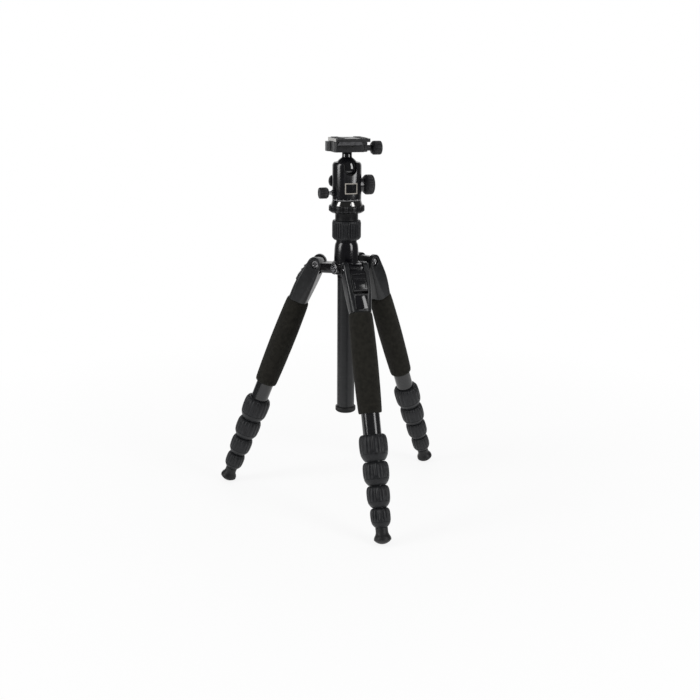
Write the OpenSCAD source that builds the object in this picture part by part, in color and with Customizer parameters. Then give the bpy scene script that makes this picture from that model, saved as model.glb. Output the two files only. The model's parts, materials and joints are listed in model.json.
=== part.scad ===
// Travel tripod with legs that fold back over the head, a twist locked column and a ball head.
// Sizes are in millimetres. The origin is on the column's axis at floor level, +Z points up,
// and the front leg stands towards -Y. It is drawn standing, with every section collapsed.

/* [Stance] */
// Angle of each leg from the vertical as it stands on its first stop
leg_tilt = 21.9; // [20:0.1:24]
// Radius at which the leg pins stand about the column's axis
pivot_r = 36.5; // [36:0.5:42]
// Distance of a leg tube's axis outboard of its pin
leg_offset = 5.7; // [5:0.1:6.4]

/* [Leg tubes] */
// Outer diameter of the first and widest leg tube
tube_1_d = 22; // [21.5:0.1:22]
// Loss of outer diameter from one tube to the next
tube_step = 3; // [2.9:0.05:3.1]
// Wall of every leg tube
tube_wall = 1.2; // [1:0.05:1.2]
// Distance down the leg from the pin to the top of the first tube
tube_top_s = 41; // [40.5:0.5:42]
// How much deeper each inner tube ends than the one around it
tube_stagger = 2; // [1:0.5:3]
// How far a tube's lower end reaches into its twist lock
tube_in_lock = 12; // [10:0.5:14]

/* [Twist locks] */
// Distance down the leg from the pin to the top of the first twist lock
lock_1_s = 199.4; // [194:0.2:210]
// Length of the first twist lock
lock_1_l = 32; // [30:1:35]
// Wall of the first twist lock at its belly, outside the tube that carries it
lock_wall = 6; // [5.5:0.1:6.5]
// Wall of a twist lock at its lower end, outside the tube that slides in it
lock_end_wall = 1.9; // [1.6:0.1:2.2]
// Depth of the open cup at the top of a twist lock
lock_cup_depth = 3; // [2:0.5:4]
// Thickness of the lip around that cup
lock_lip = 1.5; // [1.2:0.1:2]
// Radius of one lengthwise flute
flute_r = 1; // [0.8:0.1:1.2]

/* [Leg casting] */
// Distance down the leg from the pin to the lower end of the casting
casting_l = 54.4; // [53:0.2:56]
// Radius of the hinge ears around the pin
ear_r = 7.8; // [7.4:0.1:8]
// Width of the casting over its two ears
ear_span = 31; // [30.5:0.5:34]
// Width of the slot between the ears
slot_w = 18.4; // [18:0.2:19]
// Depth of the slot below the pin, which clears the spider's arm
slot_depth = 11.5; // [11.5:0.1:12.5]
// Width of the casting's lower end
casting_w = 25.6; // [25.4:0.2:27]
// Thickness of the casting's lower end, towards and away from the column
casting_t = 23.8; // [23.6:0.2:25]
// Distance from the tube's axis to the floor of the button's window
window_floor = 2.8; // [2.4:0.1:3]
// Length of the angle lock button
button_l = 27; // [25:0.5:28]
// Distance down the leg from the pin to the top of the button
button_top_s = 3; // [3:0.1:3.5]
// How far the button slides to free the leg
button_travel = 2.5; // [2:0.1:2.5]

/* [Foam and feet] */
// Length of a foam grip
foam_l = 119.8; // [110:1:125]
// Diameter of a foam grip at its belly
foam_d = 30.8; // [30:0.1:31.5]
// Diameter of the rubber foot's flange
foot_d = 20.5; // [18:0.5:22]
// Length of the rubber foot below the last twist lock
foot_l = 19.1; // [18:0.5:22]
// Radius of the foot's domed sole
sole_r = 13; // [12:0.5:15]
// Diameter of a hinge bolt's shank
bolt_d = 5; // [4.6:0.1:5.2]
// Diameter of a hinge bolt's head
bolt_head_d = 10; // [9:0.1:10]
// Thickness of a hinge bolt's head
bolt_head_h = 1.8; // [1.6:0.1:2.6]
// Depth of the recess in each ear that a bolt's head lies in
bolt_recess = 4; // [3.4:0.1:4.2]

/* [Spider] */
// Radius of the spider's lug around the leg pin
lug_r = 6.9; // [6.6:0.1:6.9]
// Distance from the pin down to the underside of the arms and the hub
arm_drop = 11; // [10.5:0.1:11.2]
// Distance from the pin up to the top of the arms
arm_rise = 1.2; // [1:0.1:1.9]
// Height of the spider's hub
hub_h = 15; // [14:0.5:16]
// Diameter of the spider's hub
hub_d = 36; // [34:1:38]
// Height of the bell above the hub
bell_h = 23.7; // [22:0.1:26]
// Diameter of the bell at its foot
bell_d = 30.5; // [29:0.1:32]
// Diameter of the bell at its top
bell_top_d = 26; // [26:0.1:28]
// Direction of the accessory boss about the column
boss_azimuth = 210; // [208:1:212]
// Diameter of the accessory boss
boss_d = 13.6; // [13.4:0.1:15]
// Distance of the boss's face from the column's axis
boss_face_r = 22; // [21:0.5:24]
// Diameter of the accessory hole, the major diameter of its thread
accessory_d = 9.525; // [9.525]

/* [Column] */
// Outer diameter of the column tube
column_d = 22; // [21.6:0.1:22.4]
// Wall of the column tube
column_wall = 1.5; // [1.2:0.1:2]
// Length of column below the hub, which is also how far it can rise
column_drop = 172.5; // [150:0.5:180]
// Height of the twist collar
collar_h = 23.5; // [22:0.5:26]
// Diameter of the twist collar
collar_d = 35.4; // [34.4:0.1:36.4]
// Diameter of the column's bottom cap
cap_d = 25.8; // [25.2:0.2:28]
// Height of the column's bottom cap
cap_h = 7; // [6.5:0.5:8]
// Diameter of the weight hook's wire
hook_wire_d = 2; // [1.8:0.1:2.2]
// Distance of the hook's tip from the column's axis
hook_reach = 15.6; // [15.2:0.1:17]
// Diameter of the column's neck above the collar
neck_d = 28.2; // [26.5:0.1:29]
// Height of the column's neck
neck_h = 9.2; // [8:0.2:11]
// Diameter of the toothed ring
ring_d = 43.9; // [42:0.1:45]
// Height of the toothed ring
ring_h = 9.1; // [8:0.1:10]

/* [Ball head] */
// Height of the polished bevel of the pan base
base_h = 5.5; // [5:0.1:6.5]
// Diameter of the pan base at its foot
base_d = 39; // [38:0.5:41]
// Diameter of the ball housing
housing_d = 35.4; // [35:0.1:35.8]
// Height of the ball housing
housing_h = 45.9; // [45:0.1:48]
// Wall of the housing beside the ball
ball_wall = 3.7; // [3.6:0.1:4]
// Depth of the ball's centre below the housing's rim
ball_depth = 7.2; // [7:0.1:7.4]
// Diameter of the stem on the ball
stem_d = 12; // [11.4:0.1:12.4]
// Height of the clamp's underside above the ball's centre
stem_l = 19.7; // [19:0.1:21]
// Width of the drop notch in the rim
notch_w = 16; // [15:0.1:16.4]
// Thickness of the seat under the ball
seat_t = 1.5; // [1.3:0.1:1.6]
// Diameter of the pan base's pivot post
post_d = 16; // [14:0.5:16]

/* [Head knobs] */
// Diameter of the ball lock knob
lock_knob_d = 24.2; // [22:0.2:24.4]
// Length of the ball lock knob
lock_knob_l = 12.6; // [12:0.1:14]
// Height of the ball lock knob's axis above the housing's foot
lock_knob_z = 18.2; // [18:0.1:18.8]
// Diameter of the pan lock knob
pan_knob_d = 13.5; // [12:0.5:15]
// Length of the pan lock knob
pan_knob_l = 11.4; // [10.6:0.1:13]
// Diameter of the friction knob
friction_knob_d = 14; // [12:0.5:15]
// Direction of the friction knob about the column
friction_azimuth = 130; // [120:1:140]
// Side of the square badge plate on the housing's front
badge_w = 13; // [12:0.5:15]

/* [Clamp and plate] */
// Width of the clamp from its fixed jaw to its movable one
clamp_w = 43.8; // [43:0.1:44.6]
// Length of the clamp along its groove
clamp_l = 36; // [34:1:40]
// Height of the clamp's floor
clamp_floor = 8; // [7.8:0.1:9]
// Height of the clamp's jaws above its floor
jaw_h = 3.6; // [3.4:0.1:4]
// Thickness of the movable jaw's apron
apron_t = 4.2; // [3.8:0.1:4.6]
// How far the movable jaw opens
jaw_travel = 2.5; // [2:0.1:2.8]
// Diameter of the clamp knob
clamp_knob_d = 16.7; // [16:0.1:17.4]
// Length of the clamp knob
clamp_knob_l = 12.3; // [11:0.1:14]
// Width of the plate across the groove
plate_w = 42.7; // [42:0.1:44]
// Length of the plate along the groove
plate_l = 39.6; // [38:0.1:42]
// Thickness of the plate above the jaws
plate_t = 4.1; // [3.8:0.1:4.8]
// Thickness of the rubber pads on the plate
pad_t = 0.7; // [0.6:0.1:1]
// Width of the dovetail at its foot
dovetail_w = 32; // [31:0.1:32]
// Diameter of the camera screw's thread
camera_thread_d = 6.35; // [6.35]

/* [Clearances] */
// Gap between pieces that slide or turn past each other
move_gap = 0.3; // [0.25:0.01:0.35]
// Radial clearance of a shaft in its own bore
shaft_fit = 0.05; // [0.03:0.01:0.08]
// Radial clearance of pieces that are glued or screwed together
glue_fit = 0.03; // [0.02:0.01:0.04]
// Overrun of every cut past the face that it opens
over = 1; // [0.5:0.1:2]

/* [Hidden] */
$fn = 64;
// Fineness of the circles inside a hull, and of flutes, grooves and the hook's wire
hull_fn = 32;
groove_fn = 24;

// Directions of the three legs about the column
front_azimuth = 270;
right_azimuth = 30;
left_azimuth = 150;
LEGS = [front_azimuth, right_azimuth, left_azimuth];

// Length of each twist lock as a share of the first one's
lock_l_shares = [1, 0.875, 0.8125, 0.72];
// Belly wall of each twist lock as a share of the first one's
lock_wall_shares = [1, 1.02, 0.97, 0.91];
// Outline of a twist lock: share of its length from the top, share of its belly
lock_outline_shares = [
    [0, 0.28], [0.04, 0.55], [0.1, 0.77], [0.2, 0.93], [0.32, 0.99], [0.45, 1],
    [0.6, 0.95], [0.75, 0.8], [0.88, 0.5], [1, 0.05]
];
// Flutes around each twist lock
flute_count = 18;
// Outline of a foam grip: share of its length from the top, share of its full radius
foam_outline_shares = [
    [0, 0.88], [0.02, 0.92], [0.1, 0.955], [0.2, 0.973], [0.33, 0.993], [0.48, 1], [0.62, 0.99],
    [0.78, 0.97], [0.9, 0.943], [0.97, 0.925], [1, 0.87]
];
// Outline of a rubber foot: share of its length from the top, share of its flange radius
foot_outline_shares = [[0, 0.73], [0.16, 0.74], [0.4, 0.8], [0.6, 0.97], [0.72, 1]];
// Outline of the bell: share of its height, share of the way from foot to top diameter
bell_outline_shares = [[0, 0], [0.4, 0.12], [0.68, 0.3], [0.86, 0.62], [1, 1]];
// Sections of a leg casting: share of its length from the pin, then shares of its thickness that it
// swells inboard and draws in outboard, share of the way from its end's width to its ears' width,
// and corner radius as a share of its thickness
casting_section_shares = [
    [0.29, 0.07, 0.2, 0.9, 0.13], [0.48, 0.06, 0.11, 0.72, 0.17],
    [0.7, 0.035, 0.045, 0.4, 0.24], [1, 0, 0, 0, 0.36]
];
// Angles of the lug's three stop notches from the notch in use, round the lug
notch_angles = [0, 33, 58];

function tube_r(i) = tube_1_d / 2 - i * tube_step / 2;
function sum_to(v, n) = n <= 0 ? 0 : v[n - 1] + sum_to(v, n - 1);
function lock_l(k) = lock_1_l * lock_l_shares[k];
function lock_top(k) = lock_1_s + lock_1_l * sum_to(lock_l_shares, k);
function lock_belly_r(k) = tube_r(k) + lock_wall * lock_wall_shares[k];
function lock_end_r(k) = tube_r(k + 1) + lock_end_wall;
function tube_top(i) = tube_top_s + i * tube_stagger;
function tube_end(i) = lock_top(i) + tube_in_lock;

last_tube = len(lock_l_shares);
foot_top_s = lock_top(last_tube);
foot_end_s = foot_top_s + foot_l;
foot_socket = foot_l * 0.55;
foot_bore_r = tube_r(last_tube) + glue_fit;
// The sole's dome meets the floor, which sets the height of the leg pins
pivot_z = (foot_end_s - sole_r) * cos(leg_tilt) - leg_offset * sin(leg_tilt) + sole_r;

bolt_r = bolt_d / 2;
arm_w = slot_w - 2 * move_gap - 2 * shaft_fit;
button_w = slot_w - 2 * move_gap;
casting_chamfer = ear_r * 0.14;
window_end_s = button_top_s + button_l + button_travel + move_gap;
button_floor = leg_offset + window_floor + move_gap;

hub_z = pivot_z - arm_drop;
hub_top_z = hub_z + hub_h;
bell_top_z = hub_top_z + bell_h;
spigot_r = column_d / 2 + move_gap + column_wall;
spigot_h = collar_h * 0.6;
collar_gap = bell_h * 0.136;
collar_z = bell_top_z + collar_gap;
platform_z = collar_z + collar_h + move_gap;
ring_z = platform_z + neck_h;
base_z = ring_z + ring_h;
housing_z = base_z + base_h + move_gap;
housing_top_z = housing_z + housing_h;
ball_z = housing_top_z - ball_depth;
clamp_z = ball_z + stem_l;
floor_z = clamp_z + clamp_floor;
jaw_top_z = floor_z + jaw_h;
slab_z = jaw_top_z + move_gap;
slab_top_z = slab_z + plate_t;
column_end_z = hub_z - column_drop;
cap_z = column_end_z - cap_h;
cap_step = cap_h * 0.2;
hook_z = cap_z + cap_h * 0.225;

accessory_wall = (boss_d - accessory_d) / 5;
accessory_l = boss_face_r - column_d / 2 - column_wall - move_gap;
accessory_z = hub_z + hub_h / 2;

housing_r = housing_d / 2;
ball_r = housing_r - ball_wall;
socket_r = ball_r + move_gap;
cavity_r = socket_r + seat_t + move_gap;
rim_r = sqrt(socket_r * socket_r - ball_depth * ball_depth);
stem_r = stem_d / 2;
spindle_r = stem_d * 0.27;
spindle_h = clamp_floor * 0.55;
stud_r = accessory_d / 2;
stud_h = base_h * 1.6;
post_r = post_d / 2;
post_h = housing_h * 0.23;

lock_shaft_r = lock_knob_d * 0.13;
lock_boss_r = lock_knob_d * 0.36;
lock_boss_l = housing_d * 0.067;
pan_shaft_r = pan_knob_d * 0.16;
pan_knob_z = housing_h * 0.2;
pan_knob_gap = housing_d * 0.163;
friction_shaft_r = friction_knob_d * 0.14;
friction_z = lock_knob_z + (cavity_r - ball_depth) * 0.43;
friction_knob_l = housing_d * 0.14;

screw_r = clamp_knob_d * 0.152;
sleeve_r = clamp_knob_d * 0.21;
screw_drop = clamp_floor * 0.52;
clamp_screw_z = floor_z - screw_drop;
sleeve_l = clamp_w * 0.221;
dovetail_slope = jaw_h * 0.6;
// The clamp and the plate stand off the stem's axis towards the fixed jaw
clamp_x = -clamp_w * 0.027;
plate_shift = plate_w * 0.085;
head_r = camera_thread_d * 0.98;
head_h = plate_t * 0.44;
slab_skin = plate_t * 0.44;
plate_foot_z = floor_z + move_gap;

// The frame of one leg: +X outboard, +Y along the pin, +Z up the leg, origin on the pin
module on_leg(azimuth)
    rotate([0, 0, azimuth]) translate([pivot_r, 0, pivot_z]) rotate([0, -leg_tilt, 0]) children();

// A place on a leg tube's axis, a distance s down the leg from the pin
module on_tube(azimuth, s) on_leg(azimuth) translate([leg_offset, 0, -s]) children();

// A side profile, drawn in X and Z, given a width along Y
module side_profile(points, width)
    rotate([90, 0, 0]) linear_extrude(width, center = true) polygon(points);

// A cylinder along +X from x0 to x1
module x_rod(radius, x0, x1) translate([x0, 0, 0]) rotate([0, 90, 0]) cylinder(r = radius, h = x1 - x0);

// A cylinder along Y, centred
module y_rod(radius, width) rotate([90, 0, 0]) cylinder(r = radius, h = width, center = true);

// A knob along +X with chamfered ends and grooves round it
module grooved_knob(radius, length, count, groove_r) {
    edge = radius * 0.18;
    rotate([0, 90, 0]) difference() {
        rotate_extrude() polygon([
            [0, 0], [radius * 0.72, 0], [radius, edge * 1.6], [radius, length - edge],
            [radius - edge, length], [0, length]
        ]);
        for (i = [0 : count - 1]) rotate([0, 0, i * 360 / count])
            translate([radius + groove_r * 0.35, 0, -over])
                cylinder(r = groove_r, h = length + 2 * over, $fn = groove_fn);
    }
}

// Four upright rods at the corners of a section of the casting, s below the pin
module casting_section(s, inner, outer, width, corner)
    for (x = [inner + corner, outer - corner], y = [corner - width / 2, width / 2 - corner])
        translate([x, y, -s]) cylinder(r = corner, h = casting_chamfer, $fn = hull_fn);

// The outside of a leg casting, from its rounded ears to its tube socket
module casting_outside() {
    inner_end = leg_offset - casting_t / 2;
    outer_end = leg_offset + casting_t / 2;
    hull() {
        rotate([90, 0, 0])
            cylinder(r = ear_r, h = ear_span - 2 * casting_chamfer, center = true, $fn = hull_fn);
        rotate([90, 0, 0])
            cylinder(r = ear_r - casting_chamfer, h = ear_span, center = true, $fn = hull_fn);
        // The ears stand out a little above the pin, on their outboard side
        translate([ear_r * 0.2, 0, ear_r * 0.08]) rotate([90, 0, 0])
            cylinder(r = ear_r, h = ear_span - 2 * casting_chamfer, center = true, $fn = hull_fn);
        translate([ear_r * 0.2, 0, ear_r * 0.08]) rotate([90, 0, 0])
            cylinder(r = ear_r - casting_chamfer, h = ear_span, center = true, $fn = hull_fn);
        for (p = casting_section_shares)
            casting_section(casting_l * p[0], inner_end - casting_t * p[1], outer_end - casting_t * p[2],
                casting_w + (ear_span - casting_w) * p[3], casting_t * p[4]);
    }
}

module leg_casting(azimuth) {
    color([0.17, 0.17, 0.18]) on_leg(azimuth) difference() {
        casting_outside();
        // Slot between the ears, open all round the pin
        translate([-casting_t, -slot_w / 2, -slot_depth]) cube([2 * casting_t, slot_w, casting_l]);
        // Window of the angle lock button
        translate([leg_offset + window_floor, -slot_w / 2, -window_end_s])
            cube([casting_t, slot_w, window_end_s]);
        // Socket of the first tube
        translate([leg_offset, 0, -casting_l - over])
            cylinder(r = tube_r(0) + glue_fit, h = casting_l - tube_top_s + over + glue_fit);
        y_rod(bolt_r + shaft_fit, ear_span + 2 * over);
        for (side = [-1, 1]) translate([0, side * (ear_span - bolt_recess + over) / 2, 0])
            y_rod(bolt_head_d / 2 + move_gap, bolt_recess + over);
    }
}

module angle_button(azimuth) {
    end_s = button_top_s + button_l;
    top_x = button_floor + ear_r * 0.12;
    bulge_x = leg_offset + casting_t * 0.48;
    nose = slot_w * 0.45;
    color([0.05, 0.05, 0.055]) on_leg(azimuth) union() {
        side_profile([
            [button_floor, -button_top_s], [top_x, -button_top_s],
            [top_x + button_l * 0.12, -button_top_s - button_l * 0.17],
            [bulge_x - button_l * 0.1, -button_top_s - button_l * 0.45],
            [bulge_x, -button_top_s - button_l * 0.78], [bulge_x, -end_s + button_l * 0.06],
            [bulge_x - button_l * 0.05, -end_s], [button_floor, -end_s]
        ], button_w);
        // Pawl behind the button, short of the lug's stop notches
        translate([lug_r + move_gap, -nose / 2, -button_top_s - button_l * 0.15])
            cube([button_floor - lug_r, nose, button_l * 0.1]);
    }
}

module leg_tube(azimuth, i) {
    length = (i == last_tube ? foot_top_s + foot_socket : tube_end(i)) - tube_top(i);
    color([0.16, 0.17, 0.18]) on_tube(azimuth, tube_top(i) + length) difference() {
        cylinder(r = tube_r(i), h = length);
        translate([0, 0, -over]) cylinder(r = tube_r(i) - tube_wall, h = length + 2 * over);
    }
}

module foam_grip(azimuth) {
    belly = foam_d / 2;
    color([0.12, 0.118, 0.106]) on_tube(azimuth, casting_l + move_gap) rotate_extrude() polygon(concat(
        [[tube_r(0) + glue_fit, 0]],
        [for (p = foam_outline_shares) [belly * p[1], -foam_l * p[0]]],
        [[tube_r(0) + glue_fit, -foam_l]]
    ));
}

module twist_lock(azimuth, k) {
    length = lock_l(k) - move_gap;
    belly = lock_belly_r(k);
    tip = lock_end_r(k);
    lip = tip + (belly - tip) * lock_outline_shares[0][1] - lock_lip;
    bore = tube_r(k) + shaft_fit;
    slide_bore = tube_r(k + 1) + move_gap;
    color([0.09, 0.09, 0.095]) on_tube(azimuth, lock_top(k)) difference() {
        rotate_extrude() polygon(concat(
            [[slide_bore, -length], [slide_bore, -tube_in_lock - move_gap], [bore, -tube_in_lock - move_gap],
            [bore, -lock_cup_depth], [lip, -lock_cup_depth], [lip, 0]],
            [for (p = lock_outline_shares) [tip + (belly - tip) * p[1], -length * p[0]]]
        ));
        for (i = [0 : flute_count - 1]) rotate([0, 0, i * 360 / flute_count])
            translate([belly + flute_r * 0.3, 0, -length * 0.8])
                cylinder(r = flute_r, h = length * 0.8 + over, $fn = groove_fn);
    }
}

module foot(azimuth) {
    flange = foot_d / 2;
    edge = sqrt(sole_r * sole_r - flange * flange);
    color([0.07, 0.07, 0.07]) on_tube(azimuth, foot_top_s) difference() {
        union() {
            rotate_extrude() polygon(concat(
                [[0, -foot_l + sole_r - edge]], [[0, 0]],
                [for (p = foot_outline_shares) [flange * p[1], -foot_l * p[0]]],
                [[flange, -foot_l + sole_r - edge]]
            ));
            intersection() {
                translate([0, 0, -foot_l + sole_r]) sphere(r = sole_r);
                translate([0, 0, -foot_l - over]) cylinder(r = flange, h = foot_l * 0.5);
            }
        }
        translate([0, 0, -foot_socket]) cylinder(r = foot_bore_r, h = foot_socket + over);
    }
}

// Side profile of an arm: the lug round the pin, and the bar that joins it to the hub
module spider_arm() {
    inner_r = (column_d + hub_d) / 4;
    bar_end = pivot_r - lug_r * 0.9;
    translate([0, 0, pivot_z]) difference() {
        union() {
            translate([pivot_r, 0, 0]) y_rod(lug_r, arm_w);
            side_profile([
                [inner_r, -arm_drop], [bar_end - lug_r * 0.3, -arm_drop], [pivot_r, -lug_r],
                [pivot_r, arm_rise], [inner_r, arm_rise]
            ], arm_w);
        }
        translate([pivot_r, 0, 0]) y_rod(bolt_r + glue_fit, arm_w + 2 * over);
        // Stop notches that the button's pawl drops into as the leg swings
        for (a = notch_angles) translate([pivot_r, 0, 0]) rotate([0, leg_tilt * 0.4 - a, 0])
            translate([lug_r * 0.85, -arm_w * 0.3, -lug_r * 0.14]) cube([lug_r, arm_w * 0.6, lug_r * 0.28]);
    }
}

module spider() {
    bore = column_d / 2 + move_gap;
    foot_r = bell_d / 2;
    top_r = bell_top_d / 2;
    color([0.055, 0.055, 0.06]) difference() {
        union() {
            translate([0, 0, hub_z]) cylinder(d = hub_d, h = hub_h * 0.9);
            translate([0, 0, hub_z]) cylinder(d1 = hub_d, d2 = bell_d, h = hub_h);
            for (azimuth = LEGS) rotate([0, 0, azimuth]) spider_arm();
            translate([0, 0, hub_top_z]) rotate_extrude() polygon(concat(
                [[0, 0]],
                [for (p = bell_outline_shares) [foot_r + (top_r - foot_r) * p[1], bell_h * p[0]]],
                [[0, bell_h]]
            ));
            // Threaded spigot under the collar
            translate([0, 0, bell_top_z]) cylinder(r = spigot_r, h = spigot_h + collar_gap);
            // Boss of the accessory thread
            rotate([0, 0, boss_azimuth]) translate([0, 0, accessory_z]) x_rod(boss_d / 2, 0, boss_face_r);
        }
        translate([0, 0, hub_z - over])
            cylinder(r = bore, h = platform_z - hub_z + over);
        rotate([0, 0, boss_azimuth]) translate([0, 0, accessory_z])
            x_rod(accessory_d / 2 + accessory_wall + glue_fit, boss_face_r - accessory_l, boss_face_r + over);
    }
}

module hinge_bolts() {
    half = ear_span / 2 - bolt_recess + bolt_head_h;
    color([0.8, 0.8, 0.8]) for (azimuth = LEGS) on_leg(azimuth) difference() {
        union() {
            y_rod(bolt_r, 2 * half - bolt_head_h);
            for (side = [-1, 1]) translate([0, side * (half - bolt_head_h / 2), 0])
                y_rod(bolt_head_d / 2, bolt_head_h);
        }
        for (side = [-1, 1]) translate([0, side * half, 0]) rotate([90, 0, 0])
            cylinder(r = bolt_head_d * 0.24, h = bolt_head_h * 1.2, center = true, $fn = 6);
    }
}

module accessory_insert() {
    inset = boss_face_r - accessory_l + move_gap;
    color([0.75, 0.75, 0.75]) rotate([0, 0, boss_azimuth]) translate([0, 0, accessory_z]) difference() {
        x_rod(accessory_d / 2 + accessory_wall, inset, boss_face_r + move_gap);
        x_rod(accessory_d / 2, inset + accessory_wall, boss_face_r + over);
    }
}

module column_collar() {
    radius = collar_d / 2;
    foot_r = radius * 0.87;
    bore = column_d / 2 + move_gap;
    lower = spigot_h + move_gap;
    color([0.08, 0.08, 0.085]) translate([0, 0, collar_z]) difference() {
        rotate_extrude() polygon([
            [spigot_r + shaft_fit, 0], [foot_r, 0], [radius * 0.965, collar_h * 0.075],
            [radius, collar_h * 0.13], [radius, collar_h * 0.86], [radius * 0.96, collar_h],
            [bore, collar_h], [bore, lower], [spigot_r + shaft_fit, lower]
        ]);
        for (i = [0 : 2 * flute_count - 1]) rotate([0, 0, i * 180 / flute_count])
            translate([radius + flute_r * 0.3, 0, collar_h * 0.15])
                cylinder(r = flute_r * 0.8, h = collar_h * 0.73, $fn = groove_fn);
    }
}

module column_tube() {
    top_z = ring_z - glue_fit;
    color([0.14, 0.15, 0.16]) translate([0, 0, column_end_z]) difference() {
        cylinder(d = column_d, h = top_z - column_end_z);
        translate([0, 0, -over])
            cylinder(r = column_d / 2 - column_wall, h = top_z - column_end_z + 2 * over);
    }
}

module column_cap() {
    plug_r = column_d / 2 - column_wall - glue_fit;
    pin_r = hook_wire_d * 0.45;
    slot = hook_wire_d + 2 * move_gap;
    slot_h = cap_h * 0.6;
    color([0.08, 0.08, 0.08]) difference() {
        union() {
            translate([0, 0, cap_z]) cylinder(d1 = cap_d - 2 * cap_step, d2 = cap_d, h = cap_step);
            translate([0, 0, cap_z + cap_step]) cylinder(d = cap_d, h = cap_h - cap_step - glue_fit);
            translate([0, 0, column_end_z - cap_step]) cylinder(r = plug_r, h = cap_h + cap_step);
        }
        // Slot that the folded hook lies in, and the bore of the pin it turns on
        translate([-cap_d, -slot / 2, cap_z - over]) cube([cap_d + slot_h, slot, slot_h + over]);
    }
    // Pin of the hook, through the slot
    color([0.7, 0.7, 0.7]) translate([0, 0, hook_z]) y_rod(pin_r, slot + 2 * move_gap);
}

module weight_hook() {
    wire_r = hook_wire_d / 2;
    pin_r = hook_wire_d * 0.45;
    eye_r = pin_r + shaft_fit;
    bend_r = hook_reach * 0.26;
    color([0.3, 0.3, 0.3]) translate([0, 0, hook_z]) difference() {
        union() {
            y_rod(wire_r * 1.45, hook_wire_d);
            x_rod(wire_r, bend_r + wire_r - hook_reach, 0);
            // The tip turns up beside the cap
            translate([bend_r + wire_r - hook_reach, 0, bend_r]) rotate([90, 0, 0])
                rotate([0, 0, 180]) rotate_extrude(angle = 90) translate([bend_r, 0])
                    circle(r = wire_r, $fn = groove_fn);
            translate([wire_r - hook_reach, 0, bend_r]) sphere(r = wire_r, $fn = groove_fn);
        }
        y_rod(eye_r, hook_wire_d + 2 * over);
    }
}

module column_platform() {
    radius = ring_d / 2;
    teeth = 20;
    tooth_gap = ring_d * 0.035;
    edge = ring_h * 0.2;
    color([0.07, 0.07, 0.075]) difference() {
        union() {
            translate([0, 0, platform_z]) cylinder(d = neck_d, h = neck_h);
            translate([0, 0, ring_z]) rotate_extrude() polygon([
                [0, 0], [radius - 2 * edge, 0], [radius, edge * 1.4], [radius, ring_h - edge],
                [radius - edge / 2, ring_h], [0, ring_h]
            ]);
            translate([0, 0, base_z]) cylinder(r = stud_r, h = stud_h);
        }
        translate([0, 0, platform_z - over]) cylinder(r = column_d / 2 + glue_fit, h = neck_h + over);
        for (i = [0 : teeth - 1]) rotate([0, 0, (i + 0.5) * 360 / teeth])
            translate([radius + tooth_gap * 0.2, 0, ring_z - over])
                cylinder(r = tooth_gap, h = ring_h + 2 * over, $fn = groove_fn);
    }
}

module pan_base() {
    color([0.3, 0.3, 0.31]) difference() {
        union() {
            translate([0, 0, base_z]) cylinder(d1 = base_d, d2 = housing_d, h = base_h);
            translate([0, 0, base_z + base_h]) cylinder(r = post_r, h = post_h);
        }
        translate([0, 0, base_z - over]) cylinder(r = stud_r + glue_fit, h = stud_h + over + glue_fit);
    }
}

module ball_housing() {
    edge = housing_r * 0.14;
    recess = badge_w * 0.03;
    color([0.03, 0.03, 0.03]) difference() {
        union() {
            translate([0, 0, housing_z]) rotate_extrude() polygon([
                [0, 0], [housing_r, 0], [housing_r, housing_h - edge * 1.4],
                [housing_r - edge * 0.5, housing_h - edge * 0.3], [housing_r - edge, housing_h],
                [0, housing_h]
            ]);
            translate([0, 0, housing_z + lock_knob_z]) x_rod(lock_boss_r, 0, housing_r + lock_boss_l);
            translate([0, 0, housing_z + pan_knob_z]) mirror([1, 0, 0])
                x_rod(pan_shaft_r * 1.7, 0, housing_r + pan_knob_gap * 0.25);
        }
        // Ball chamber: tight to the ball above its centre, wide enough for the seat below
        difference() {
            translate([0, 0, ball_z]) sphere(r = cavity_r);
            translate([0, 0, ball_z]) cylinder(r = housing_d, h = housing_d);
        }
        translate([0, 0, ball_z]) sphere(r = socket_r);
        translate([0, 0, ball_z]) cylinder(r = rim_r, h = ball_depth + over);
        // Drop notch for the stem
        translate([0, 0, ball_z]) rotate([90, 0, 0]) cylinder(d = notch_w, h = housing_d);
        translate([-notch_w / 2, -housing_d, ball_z]) cube([notch_w, housing_d, ball_depth + over]);
        // Post of the pan base
        translate([0, 0, housing_z - over]) cylinder(r = post_r + shaft_fit, h = post_h + over);
        // Shafts of the three knobs
        translate([0, 0, housing_z + lock_knob_z])
            x_rod(lock_shaft_r + shaft_fit, housing_r * 0.55, housing_d);
        translate([0, 0, housing_z + pan_knob_z]) mirror([1, 0, 0])
            x_rod(pan_shaft_r + shaft_fit, post_r, housing_d);
        rotate([0, 0, friction_azimuth]) translate([0, 0, housing_z + friction_z])
            x_rod(friction_shaft_r + shaft_fit, housing_r * 0.6, housing_d);
        // Flat of the badge plate
        translate([-badge_w / 2, -housing_r - over, housing_z + lock_knob_z - badge_w * 0.71])
            cube([badge_w, over + recess, badge_w]);
    }
}

module pan_knob() {
    start = housing_r + pan_knob_gap;
    color([0.1, 0.1, 0.1]) translate([0, 0, housing_z + pan_knob_z]) mirror([1, 0, 0]) union() {
        x_rod(pan_shaft_r, post_r + move_gap, start + over);
        translate([start, 0, 0]) grooved_knob(pan_knob_d / 2, pan_knob_l, 18, pan_knob_d * 0.045);
    }
}

module ball_lock_knob() {
    start = housing_r + lock_boss_l + move_gap;
    color([0.1, 0.1, 0.1]) translate([0, 0, housing_z + lock_knob_z]) union() {
        x_rod(lock_shaft_r, housing_r * 0.6, start + over);
        translate([start, 0, 0]) grooved_knob(lock_knob_d / 2, lock_knob_l, 20, lock_knob_d * 0.045);
    }
}

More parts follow.
